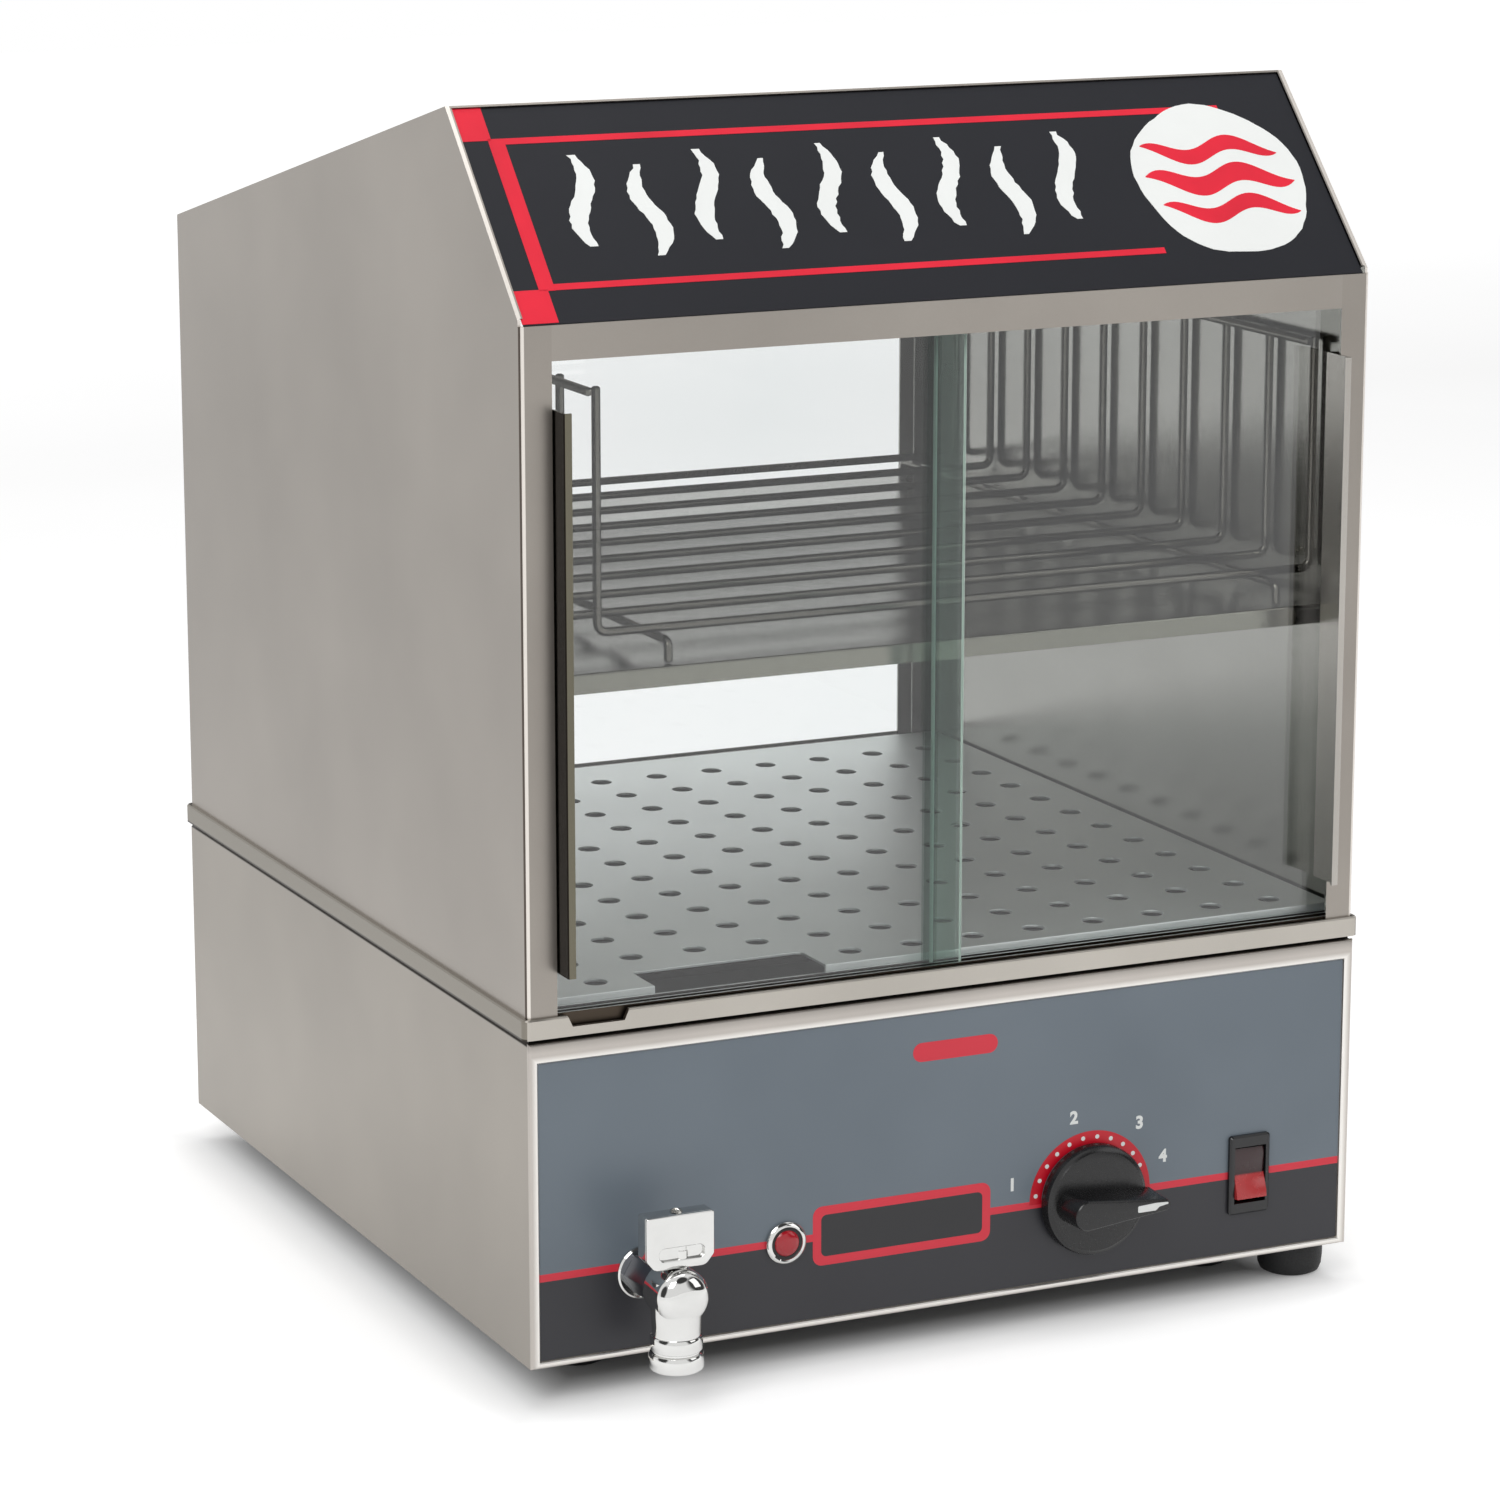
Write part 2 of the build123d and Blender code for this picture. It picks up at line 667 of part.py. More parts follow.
# ---- Side panels: sheet with folded posts, hemmed slope edge and roof ledges -------
panel_foot = hood_bottom + sheet
hem = 1.2
panel_bend = 2.0
hem_deep = 7.0
ledge_wide = 10.0
sign_recess = 0.8
sign_thick = 1.5
backing = sign_recess + sign_thick
ledge_start = 16.0
with BuildPart() as left_side_panel:
    with BuildSketch(Plane.XY.offset(panel_foot)) as panel_section:
        with Locations((left + post_width / 2, middle_y)):
            Rectangle(post_width, depth)
        fillet(panel_section.vertices().group_by(Axis.X)[0], radius=panel_bend)
        with Locations((left + (post_width + sheet) / 2, middle_y)):
            Rectangle(post_width - sheet, depth - 2 * sheet, mode=Mode.SUBTRACT)
    extrude(amount=eave - panel_foot)
    with BuildSketch(Plane.YZ.offset(left)):
        Polygon(
            (front + panel_bend, eave),
            (front + panel_bend, eave + panel_bend * math.tan(front_angle)),
            (crest_y, crest),
            on_roof(rear - panel_bend, 0),
            (rear - panel_bend, eave),
            align=None,
        )
    extrude(amount=sheet)
    with BuildSketch(Plane.YZ.offset(left + sheet)):
        Polygon(
            on_sign(2 * panel_bend, 0),
            on_sign(sign_length, 0),
            on_sign(sign_length, hem_deep),
            on_sign(hem_deep, hem_deep - 1.0),
            align=None,
        )
    extrude(amount=hem)
    with BuildSketch(Plane.YZ.offset(left + sheet)):
        Polygon(
            on_sign(ledge_start, backing + sheet),
            ridge(backing + sheet, sheet),
            on_roof(rear - ledge_start, sheet),
            on_roof(rear - ledge_start, 2 * sheet),
            ridge(backing + 2 * sheet, 2 * sheet),
            on_sign(ledge_start, backing + 2 * sheet),
            align=None,
        )
    extrude(amount=ledge_wide)
save(left_side_panel.part, "left_side_panel")

with BuildPart() as right_side_panel:
    mirror(left_side_panel.part, about=Plane.YZ)
save(right_side_panel.part, "right_side_panel")

# ---- Header between the posts, with the top track behind it ------------------------
header_low = base_bottom + 400.3
header_flange_z = base_bottom + 411.0
header_flange = 13.5
glass_thick = 3.0
front_pane_y = 3.0
rear_pane_y = 8.0
track_wall_y = (1.5, 6.4, 11.4)
track_wall = 1.2
track_front = 1.5
track_top = header_flange_z - sheet - slip
top_groove = 8.0
with BuildPart() as header:
    with BuildSketch(front_plane(0)):
        with Locations((0, (header_low + eave) / 2)):
            Rectangle(width - 2 * post_width, eave - header_low)
    extrude(amount=-sheet)
    with BuildSketch(Plane.XY.offset(header_flange_z)):
        with Locations((0, front + sheet + (header_flange - sheet) / 2)):
            Rectangle(width - 2 * post_width, header_flange - sheet)
    extrude(amount=-sheet)
save(header.part, "header")

bottom_track_top = base_bottom + 144.2


def door_track(web_bottom, web_top, wall_end):
    """Section of a track: a web, and three walls that stand from it to wall_end."""
    with BuildSketch(Plane.YZ.offset(left + sheet + slip)) as section:
        web_depth = track_wall_y[-1] + track_wall - track_front
        with Locations((front + track_front + web_depth / 2, (web_bottom + web_top) / 2)):
            Rectangle(web_depth, web_top - web_bottom)
        for wall_y in track_wall_y:
            with Locations((front + wall_y + track_wall / 2, (web_bottom + wall_end) / 2)):
                Rectangle(track_wall, abs(wall_end - web_bottom))
    return section.sketch


with BuildPart() as top_track:
    extrude(
        door_track(track_top, track_top - sheet, track_top - sheet - top_groove),
        amount=width - 2 * (sheet + slip),
    )
save(top_track.part, "top_track")

with BuildPart() as bottom_track:
    extrude(
        door_track(panel_foot, panel_foot + sheet, bottom_track_top),
        amount=width - 2 * (sheet + slip),
    )
save(bottom_track.part, "bottom_track")

# ---- Roof panel: rear slope, backing of the sign, and a lip down the rear ----------
backing_start = 9.0
ridge_lip = 1.0
rear_lip = 14.0
with BuildPart() as roof_panel:
    with BuildSketch(Plane.YZ.offset(left + sheet)):
        Polygon(
            on_sign(backing_start, backing),
            on_sign(sign_length - ridge_lip, backing),
            on_sign(sign_length - ridge_lip, 0),
            (crest_y, crest),
            (rear, eave),
            (rear, eave - rear_lip),
            (rear - sheet, eave - rear_lip),
            on_roof(rear - sheet, sheet),
            ridge(backing + sheet, sheet),
            on_sign(backing_start, backing + sheet),
            align=None,
        )
    extrude(amount=width - 2 * sheet)
    with BuildSketch(Plane.YZ.offset(left + sheet)):
        Polygon(
            (rear - sheet, panel_foot),
            (rear, panel_foot),
            (rear, eave),
            (rear - sheet, eave),
            align=None,
        )
    extrude(amount=post_width - sheet, mode=Mode.SUBTRACT)
    with BuildSketch(Plane.YZ.offset(right - sheet)):
        Polygon(
            (rear - sheet, panel_foot),
            (rear, panel_foot),
            (rear, eave),
            (rear - sheet, eave),
            align=None,
        )
    extrude(amount=-(post_width - sheet), mode=Mode.SUBTRACT)
    for edge_x, way in ((left + sheet, 1), (right - sheet, -1)):
        with BuildSketch(Plane.YZ.offset(edge_x)):
            Polygon(
                on_sign(0, 0),
                on_sign(sign_length, 0),
                on_sign(sign_length, hem_deep),
                on_sign(hem_deep, hem_deep),
                align=None,
            )
        extrude(amount=way * hem, mode=Mode.SUBTRACT)
save(roof_panel.part, "roof_panel")

# ---- Sign plate on the front slope, between the side panels' hems ------------------
sign_start = 1.0
with BuildPart() as sign_panel:
    with BuildSketch(Plane.YZ.offset(left + sheet + hem + slip)):
        Polygon(
            on_sign(sign_start, sign_recess),
            on_sign(sign_length - ridge_lip - slip, sign_recess),
            on_sign(sign_length - ridge_lip - slip, backing),
            on_sign(sign_start, backing),
            align=None,
        )
    extrude(amount=width - 2 * (sheet + hem + slip))
save(sign_panel.part, "sign_panel")

# ---- Rear frame with channels that hold the fixed rear glass ------------------------
rear_frame_y = 380.0
rear_frame_foot = 10.0
rear_frame_head = 14.0
channel_deep = 5.0
rear_pane_inset = 5.0
channel_drop = 7.0
channel_lip = 5.0
wing_drop = 12.0
with BuildPart() as rear_frame:
    frame_y = front + rear_frame_y
    frame_top_z = on_roof(frame_y, 2 * sheet)[1] - sheet
    with BuildSketch(front_plane(rear_frame_y)):
        with Locations((0, (panel_foot + frame_top_z) / 2)):
            Rectangle(width - 2 * (sheet + ledge_wide) - 2 * slip, frame_top_z - panel_foot)
    extrude(amount=-sheet)
    wing_wide = ledge_wide + slip
    wing_top_z = eave - wing_drop
    for way in (-1, 1):
        wing_x = way * (width / 2 - sheet - wing_wide / 2)
        with BuildSketch(front_plane(rear_frame_y)):
            with Locations((wing_x, (panel_foot + wing_top_z) / 2)):
                Rectangle(wing_wide, wing_top_z - panel_foot)
        extrude(amount=-sheet)
    window_low = panel_foot + rear_frame_foot
    window_high = frame_top_z - rear_frame_head
    with BuildSketch(front_plane(rear_frame_y)):
        with Locations((0, (window_low + window_high) / 2)):
            Rectangle(width - 2 * (sheet + post_width), window_high - window_low)
    extrude(amount=-sheet, mode=Mode.SUBTRACT)
    for level, way in ((window_low - channel_drop, 1), (window_high + channel_drop, -1)):
        with BuildSketch(Plane.YZ.offset(left + sheet + ledge_wide)):
            Polygon(
                (frame_y + sheet, level),
                (frame_y + sheet + channel_deep, level),
                (frame_y + sheet + channel_deep, level + way * channel_lip),
                (frame_y + sheet + channel_deep - sheet, level + way * channel_lip),
                (frame_y + sheet + channel_deep - sheet, level + way * sheet),
                (frame_y + sheet, level + way * sheet),
                align=None,
            )
        extrude(amount=width - 2 * (sheet + ledge_wide))
save(rear_frame.part, "rear_frame")

with BuildPart() as rear_glass:
    pane_low = window_low - channel_drop + sheet
    pane_high = window_high + channel_drop - sheet
    with BuildSketch(front_plane(rear_frame_y + sheet + slip)):
        with Locations((0, (pane_low + pane_high) / 2)):
            Rectangle(width - 2 * (sheet + rear_pane_inset), pane_high - pane_low)
    extrude(amount=-glass_thick)
save(rear_glass.part, "rear_glass")

# ---- Wall rails and the shelf that separates the buns from the frankfurters ---------
shelf_top = base_bottom + 274.0
shelf_front = 20.0
shelf_rear = 378.5
shelf_lip = 8.0
rail_wide = 17.8
rail_height = 7.0
rail_wall = 1.0
rail_top = shelf_top - sheet
with BuildPart() as left_shelf_rail:
    with BuildSketch(front_plane(shelf_front + 1.0)):
        with Locations((left + sheet + rail_wide / 2, rail_top - rail_height / 2)):
            Rectangle(rail_wide, rail_height)
            Rectangle(rail_wide - 2 * rail_wall, rail_height - 2 * rail_wall, mode=Mode.SUBTRACT)
    extrude(amount=-(shelf_rear - shelf_front - 2.0))
save(left_shelf_rail.part, "left_shelf_rail")

with BuildPart() as right_shelf_rail:
    mirror(left_shelf_rail.part, about=Plane.YZ)
save(right_shelf_rail.part, "right_shelf_rail")

with BuildPart() as bun_shelf:
    with BuildSketch(Plane.XY.offset(shelf_top)):
        with Locations((0, front + (shelf_front + shelf_rear) / 2)):
            Rectangle(width - 2 * (sheet + slip), shelf_rear - shelf_front)
    extrude(amount=-sheet)
    with BuildSketch(front_plane(shelf_front)):
        with Locations((0, shelf_top - shelf_lip / 2)):
            Rectangle(width - 2 * (sheet + rail_wide + slip), shelf_lip)
    extrude(amount=-sheet)
    lip_edge = bun_shelf.edges().filter_by(Axis.X).group_by(Axis.Y)[0].sort_by(Axis.Z)[-1]
    fillet(lip_edge, radius=1.0)
save(bun_shelf.part, "bun_shelf")

# ---- Sliding glass doors: a pane, and a folded handle strip at its outer end --------
pane_side = 2.0
pane_overlap = 11.5
left_pane_end = left + 191.8
right_pane_start = left_pane_end - pane_overlap
pane_foot_z = panel_foot + sheet + slip
pane_head_z = base_bottom + 402.3
handle_low_z = base_bottom + 160.5
handle_high_z = base_bottom + 381.5
handle_web_x = 13.6
handle_reach = 10.0
handle_sheet = 1.0
handle_lip = 3.2
handle_bond = 8.0


def door_pane(start_x, end_x, pane_y):
    with BuildPart() as pane:
        with BuildSketch(front_plane(pane_y)):
            with Locations(((start_x + end_x) / 2, (pane_foot_z + pane_head_z) / 2)):
                Rectangle(end_x - start_x, pane_head_z - pane_foot_z)
        extrude(amount=-glass_thick)
        chamfer(pane.edges().filter_by(Axis.Z), length=0.4)
    return pane.part


def door_handle(pane_y):
    """Left-hand strip: bonded outer flange, web that stands forward, inward lip."""
    web = left + handle_web_x
    tip = front - handle_reach
    back = front + pane_y
    with BuildPart() as strip:
        with BuildSketch(Plane.XY.offset(handle_low_z)):
            Polygon(
                (web - handle_bond, back - handle_sheet),
                (web, back - handle_sheet),
                (web, tip),
                (web + handle_lip, tip),
                (web + handle_lip, tip + handle_sheet),
                (web + handle_sheet, tip + handle_sheet),
                (web + handle_sheet, back),
                (web - handle_bond, back),
                align=None,
            )
        extrude(amount=handle_high_z - handle_low_z)
        outer_fold = strip.edges().filter_by(Axis.Z).sort_by(Axis.Y)[0:2].sort_by(Axis.X)[0]
        fillet(outer_fold, radius=0.8)
    return strip.part


save(door_pane(left + pane_side, left_pane_end, front_pane_y), "left_door_glass")
save(door_pane(right_pane_start, right - pane_side, rear_pane_y), "right_door_glass")
save(door_handle(front_pane_y), "left_door_handle")
with BuildPart() as right_door_handle:
    mirror(door_handle(rear_pane_y), about=Plane.YZ)
save(right_door_handle.part, "right_door_handle")

# ---- Bun rack: bent wires across, rim wires and footed runners along ----------------
wire_r = 1.8
wire_bend = 3.0
wire_count = 10
wire_pitch = 35.7
wire_first_y = 35.6
wire_left_x = left + 46.0
wire_right_x = left + 370.8
wire_low_z = base_bottom + 286.5
wire_high_z = base_bottom + 384.0
wire_route = [
    (wire_left_x, wire_high_z),
    (wire_left_x, wire_low_z),
    (wire_right_x, wire_low_z),
    (wire_right_x, wire_high_z),
]
with BuildPart() as cross_wire:
    with BuildLine(front_plane(wire_first_y)):
        Polyline(*cut_corners(wire_route, wire_bend))
    with BuildSketch(Plane.XY.offset(wire_high_z)):
        with Locations((wire_left_x, front + wire_first_y)):
            RegularPolygon(wire_r, tube_sides)
    sweep(transition=Transition.RIGHT)
with BuildPart() as bun_rack_wires:
    with Locations([(0, step * wire_pitch, 0) for step in range(wire_count)]):
        add(cross_wire.part)
save(bun_rack_wires.part, "bun_rack_wires")

rim_drop = 4.0
rim_overhang = 4.0
rim_z = wire_high_z - rim_drop
rim_start = wire_first_y - rim_overhang
rim_end = wire_first_y + (wire_count - 1) * wire_pitch + rim_overhang
runner_x = (left + 72.0, left + 349.0)
runner_z = wire_low_z - 2 * wire_r
runner_bend = 2.5
runner_foot_z = shelf_top + slip
runner_front_y = front + 26.0
runner_rear_y = front + 368.0
runner_route = [
    (runner_front_y, runner_foot_z),
    (runner_front_y, runner_z),
    (runner_rear_y, runner_z),
    (runner_rear_y, runner_foot_z),
]
with BuildPart() as bun_rack_rails:
    with BuildSketch(front_plane(rim_start)):
        with Locations((wire_left_x - 2 * wire_r, rim_z), (wire_right_x - 2 * wire_r, rim_z)):
            RegularPolygon(wire_r, tube_sides)
    extrude(amount=-(rim_end - rim_start))
    for x in runner_x:
        with BuildLine(Plane.YZ.offset(x)):
            Polyline(*cut_corners(runner_route, runner_bend))
        with BuildSketch(Plane.XY.offset(runner_foot_z)):
            with Locations((x, runner_front_y)):
                RegularPolygon(wire_r, tube_sides, rotation=180 / tube_sides)
        sweep(transition=Transition.RIGHT)
save(bun_rack_rails.part, "bun_rack_rails")

# ---- Perforated tray: folded sheet with a square field of holes and a finger notch --
tray_top = base_bottom + 147.0
tray_bottom = pan_flange_top + slip
tray_side = 2.8
tray_front = 13.2
tray_rear = 378.0
hole_r = 4.75
hole_sides = 6
hole_pitch_x = 28.13
hole_pitch_y = 28.86
hole_columns = 12
hole_rows = 12
hole_first_y = 28.7
holes_mid_x = left + 195.8
finger_notch = (left + 60.0, left + 135.0)
finger_notch_deep = 36.0
with BuildPart() as perforated_tray:
    with BuildSketch(Plane.XY.offset(tray_bottom)):
        with Locations((0, front + (tray_front + tray_rear) / 2)):
            Rectangle(width - 2 * tray_side, tray_rear - tray_front)
    extrude(amount=tray_top - tray_bottom)
    offset(amount=-sheet, openings=perforated_tray.faces().sort_by(Axis.Z)[0])
    with BuildSketch(Plane.XY.offset(tray_top)):
        holes_mid_y = front + hole_first_y + (hole_rows - 1) * hole_pitch_y / 2
        with Locations((holes_mid_x, holes_mid_y)):
            with GridLocations(hole_pitch_x, hole_pitch_y, hole_columns, hole_rows):
                RegularPolygon(hole_r, hole_sides)
        notch_mid_x = (finger_notch[0] + finger_notch[1]) / 2
        with Locations((notch_mid_x, front + finger_notch_deep / 2)):
            Rectangle(finger_notch[1] - finger_notch[0], finger_notch_deep)
    extrude(amount=-(tray_top - tray_bottom), mode=Mode.SUBTRACT)
save(perforated_tray.part, "perforated_tray")
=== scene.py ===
import json
import math
import random

import bmesh
import bpy
from mathutils import Matrix, Vector


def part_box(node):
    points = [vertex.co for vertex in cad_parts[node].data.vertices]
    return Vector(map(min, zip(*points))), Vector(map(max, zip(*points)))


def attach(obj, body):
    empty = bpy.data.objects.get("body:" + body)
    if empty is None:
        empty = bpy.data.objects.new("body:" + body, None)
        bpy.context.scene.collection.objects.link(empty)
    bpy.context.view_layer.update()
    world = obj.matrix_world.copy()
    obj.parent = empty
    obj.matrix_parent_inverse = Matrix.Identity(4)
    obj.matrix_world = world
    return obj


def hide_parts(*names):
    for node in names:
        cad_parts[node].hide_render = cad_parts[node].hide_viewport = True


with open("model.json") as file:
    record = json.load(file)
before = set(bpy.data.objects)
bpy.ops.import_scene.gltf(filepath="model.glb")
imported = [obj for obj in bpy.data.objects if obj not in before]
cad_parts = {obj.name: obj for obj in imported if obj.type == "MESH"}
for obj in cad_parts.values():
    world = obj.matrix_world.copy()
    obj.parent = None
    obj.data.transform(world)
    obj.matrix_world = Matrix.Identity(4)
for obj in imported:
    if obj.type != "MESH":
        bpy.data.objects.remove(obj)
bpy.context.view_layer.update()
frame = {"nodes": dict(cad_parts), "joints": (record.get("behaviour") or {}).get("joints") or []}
nodes = frame["nodes"]
joints = {joint["name"]: joint for joint in frame["joints"]}
mm = 0.001
scene = bpy.context.scene
chance = random.Random(7)


# ---- Places read from the frame ----------------------------------------------
label_low, label_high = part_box("control_label")
shell_low, shell_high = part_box("base_shell")
front = shell_low.y
left = shell_low.x
base_bottom = shell_low.z
dial = Vector(joints["dial_turn"]["pos_m"])
rocker = Vector(joints["rocker_tilt"]["pos_m"])
tap = Vector(joints["tap_turn"]["pos_m"])
lamp_low, lamp_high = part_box("lamp_bezel")
lamp = (lamp_low + lamp_high) / 2
label_face = label_low.y
label_corner = Vector((left, label_face, base_bottom))


# ---- Camera: the photograph's own angle --------------------------------------
camera_place = (-0.8985, -1.8997, 0.6904)
camera_fall = 12.823
camera_turn = -25.175
camera = bpy.data.objects.new("camera", bpy.data.cameras.new("camera"))
scene.collection.objects.link(camera)
camera.location = camera_place
camera.rotation_euler = (math.radians(90 - camera_fall), 0, math.radians(camera_turn))
camera.data.lens = 119.12
camera.data.sensor_width = 36
camera.data.clip_end = 50
scene.camera = camera
scene.view_settings.view_transform = "Standard"


# ---- Node helpers ------------------------------------------------------------
def shader_of(mat):
    return mat.node_tree.nodes["Principled BSDF"]


def new_material(name):
    mat = bpy.data.materials.new(name)
    mat.use_nodes = True
    return mat, mat.node_tree, shader_of(mat)


def colour(red, green, blue):
    """A colour written in display values from 0 to 255, as a linear RGBA."""
    return tuple(
        v / 12.92 if v <= 0.04045 else ((v + 0.055) / 1.055) ** 2.4
        for v in (red / 255, green / 255, blue / 255)
    ) + (1.0,)


def grey(level):
    return colour(level, level, level)


def shaded(rgba, factor):
    return tuple(min(1.0, v * factor) for v in rgba[:3]) + (1.0,)


def object_coords(tree, scale=(1, 1, 1)):
    coords = tree.nodes.new("ShaderNodeTexCoord")
    mapping = tree.nodes.new("ShaderNodeMapping")
    mapping.inputs["Scale"].default_value = scale
    tree.links.new(coords.outputs["Object"], mapping.inputs["Vector"])
    return mapping.outputs["Vector"]


def noise(tree, vector, scale, detail=3.0, roughness=0.5):
    node = tree.nodes.new("ShaderNodeTexNoise")
    node.inputs["Scale"].default_value = scale
    node.inputs["Detail"].default_value = detail
    node.inputs["Roughness"].default_value = roughness
    tree.links.new(vector, node.inputs["Vector"])
    return node.outputs["Fac"]


def ramp(tree, factor, stops):
    """Colour ramp through (position, rgba) stops."""
    node = tree.nodes.new("ShaderNodeValToRGB")
    elements = node.color_ramp.elements
    while len(elements) < len(stops):
        elements.new(0.5)
    for element, (position, rgba) in zip(elements, stops):
        element.position = position
        element.color = rgba
    tree.links.new(factor, node.inputs["Fac"])
    return node.outputs["Color"]


def spread(tree, factor, low, high, start=0.3, end=0.7):
    """Number that runs from low to high as the factor runs from start to end."""
    node = tree.nodes.new("ShaderNodeMapRange")
    node.inputs["From Min"].default_value = start
    node.inputs["From Max"].default_value = end
    node.inputs["To Min"].default_value = low
    node.inputs["To Max"].default_value = high
    tree.links.new(factor, node.inputs["Value"])
    return node.outputs["Result"]


def math_node(tree, operation, first, second=0):
    node = tree.nodes.new("ShaderNodeMath")
    node.operation = operation
    for socket, value in zip(node.inputs, (first, second)):
        if isinstance(value, (int, float)):
            socket.default_value = value
        else:
            tree.links.new(value, socket)
    return node.outputs["Value"]


def within(tree, value, low, high):
    """1 where the value lies between low and high, else 0."""
    node = tree.nodes.new("ShaderNodeMath")
    node.operation = "COMPARE"
    node.inputs[1].default_value = (low + high) / 2
    node.inputs[2].default_value = (high - low) / 2
    tree.links.new(value, node.inputs[0])
    return node.outputs["Value"]


def times(tree, first, second):
    return math_node(tree, "MULTIPLY", first, second)


def minus(tree, first, second):
    return math_node(tree, "SUBTRACT", first, second)


def magnitude(tree, value):
    return math_node(tree, "ABSOLUTE", value)


def coord_parts(tree, output="Object"):
    """Separated x, y and z of the surface point, or of its normal."""
    coords = tree.nodes.new("ShaderNodeTexCoord")
    parts = tree.nodes.new("ShaderNodeSeparateXYZ")
    tree.links.new(coords.outputs[output], parts.inputs["Vector"])
    return parts.outputs


def mixed(tree, factor, first, second, blend="MIX"):
    """Colour mix of two colours or colour sockets."""
    node = tree.nodes.new("ShaderNodeMix")
    node.data_type = "RGBA"
    node.blend_type = blend
    if isinstance(factor, float):
        node.inputs["Factor"].default_value = factor
    else:
        tree.links.new(factor, node.inputs["Factor"])
    for socket, value in ((node.inputs[6], first), (node.inputs[7], second)):
        if isinstance(value, tuple):
            socket.default_value = value
        else:
            tree.links.new(value, socket)
    return node.outputs[2]


def bump(tree, height, strength, distance, normal_input):
    node = tree.nodes.new("ShaderNodeBump")
    node.inputs["Strength"].default_value = strength
    node.inputs["Distance"].default_value = distance
    tree.links.new(height, node.inputs["Height"])
    tree.links.new(node.outputs["Normal"], normal_input)


def set_surface(tree, shader, tint, roughness):
    tree.links.new(tint, shader.inputs["Base Color"])
    tree.links.new(roughness, shader.inputs["Roughness"])


# ---- Metals ------------------------------------------------------------------
def polished_inside_painted_edges(tree, clouds, tint, roughness, side):
    """The tint and roughness of a side panel, whose inner face, towards side along X, is
    smooth, whose bends carry painted shade and whose outer rim, beside the post, carries a
    painted highlight."""
    sideways = coord_parts(tree, "Normal")["X"]
    inner = math_node(tree, "GREATER_THAN", times(tree, sideways, side), 0.5)
    bright = ramp(tree, clouds, [(0.3, colour(144, 143, 138)), (0.7, colour(157, 156, 151))])
    tint = mixed(tree, inner, tint, bright)
    slant = magnitude(tree, sideways)
    # Painted shade on the bend facets.
    tint = mixed(tree, within(tree, slant, 0.75, 0.99), tint, colour(92, 84, 78))
    # Painted highlight on the outer rim beside the post.
    out = magnitude(tree, coord_parts(tree)["X"])
    rim = math_node(tree, "GREATER_THAN", out, shell_high.x - 1.7 * mm)
    turned = math_node(tree, "LESS_THAN", slant, 0.75)
    tint = mixed(tree, times(tree, rim, turned), tint, colour(222, 216, 209))
    blend = tree.nodes.new("ShaderNodeMix")
    tree.links.new(inner, blend.inputs["Factor"])
    tree.links.new(roughness, blend.inputs[2])
    tree.links.new(spread(tree, clouds, 0.10, 0.17), blend.inputs[3])
    return tint, blend.outputs[0]


def brushed_metal(name, tone, grain, rough=(0.28, 0.38), contrast=0.05, polish=None):
    """Sheet steel with fine grain stretched along the sheet, and soft clouds."""
    mat, tree, shader = new_material(name)
    fine = noise(tree, object_coords(tree, grain), 900, 4.0, 0.65)
    clouds = noise(tree, object_coords(tree), 7, 3.0, 0.55)
    dull, bright = shaded(tone, 1 - contrast), shaded(tone, 1 + contrast)
    grained = ramp(tree, fine, [(0.3, dull), (0.7, bright)])
    clouded = ramp(tree, clouds, [(0.3, grey(236)), (0.7, grey(255))])
    tint = mixed(tree, 1.0, grained, clouded, "MULTIPLY")
    roughness = spread(tree, fine, *rough)
    if polish:
        tint, roughness = polished_inside_painted_edges(tree, clouds, tint, roughness, polish)
    set_surface(tree, shader, tint, roughness)
    shader.inputs["Metallic"].default_value = 1.0
    bump(tree, fine, 0.06, 0.0002, shader.inputs["Normal"])
    return mat


def bright_metal(name, tone, rough, dents=0.02):
    """Plated or polished metal, with a faint orange peel and smears in its gloss."""
    mat, tree, shader = new_material(name)
    smear = noise(tree, object_coords(tree), 60, 4.0, 0.6)
    peel = noise(tree, object_coords(tree), 420, 2.0, 0.5)
    tint = ramp(tree, smear, [(0.3, shaded(tone, 0.94)), (0.7, tone)])
    set_surface(tree, shader, tint, spread(tree, smear, *rough))
    shader.inputs["Metallic"].default_value = 1.0
    bump(tree, peel, dents, 0.0002, shader.inputs["Normal"])
    return mat


across = (1, 30, 30)
upright = (30, 30, 1)
steel_tone = colour(158, 152, 145)
side_left = brushed_metal("steel_side_left", steel_tone, upright, polish=1)
side_right = brushed_metal("steel_side_right", steel_tone, upright, polish=-1)
steel_front = brushed_metal("steel_front", colour(163, 157, 150), across)
steel_ring = brushed_metal("steel_ring", colour(190, 184, 178), across)
steel_band = brushed_metal("steel_band", colour(185, 180, 172), across)
steel_roof = brushed_metal("steel_roof", steel_tone, across)
steel_base = brushed_metal("steel_base", colour(156, 150, 142), across)
steel_inner = brushed_metal("steel_inner", colour(172, 171, 166), across, (0.14, 0.22), 0.04)
# Painted shade: the shelf's dark tone stands in for the shade and dark reflections inside the hood.
steel_shelf = brushed_metal("steel_shelf", colour(122, 121, 112), across, (0.1, 0.17))
steel_frame = brushed_metal("steel_frame", colour(102, 102, 96), upright, (0.2, 0.3))
steel_tray = brushed_metal("steel_tray", colour(229, 233, 231), across, (0.42, 0.5), 0.03)
steel_track = brushed_metal("steel_track", colour(198, 200, 200), across, (0.3, 0.4), 0.04)
# Painted shade: the grip's dark tone stands in for the shade in the gap beside the post.
steel_grip = brushed_metal("steel_grip", colour(112, 108, 94), upright, (0.2, 0.3))
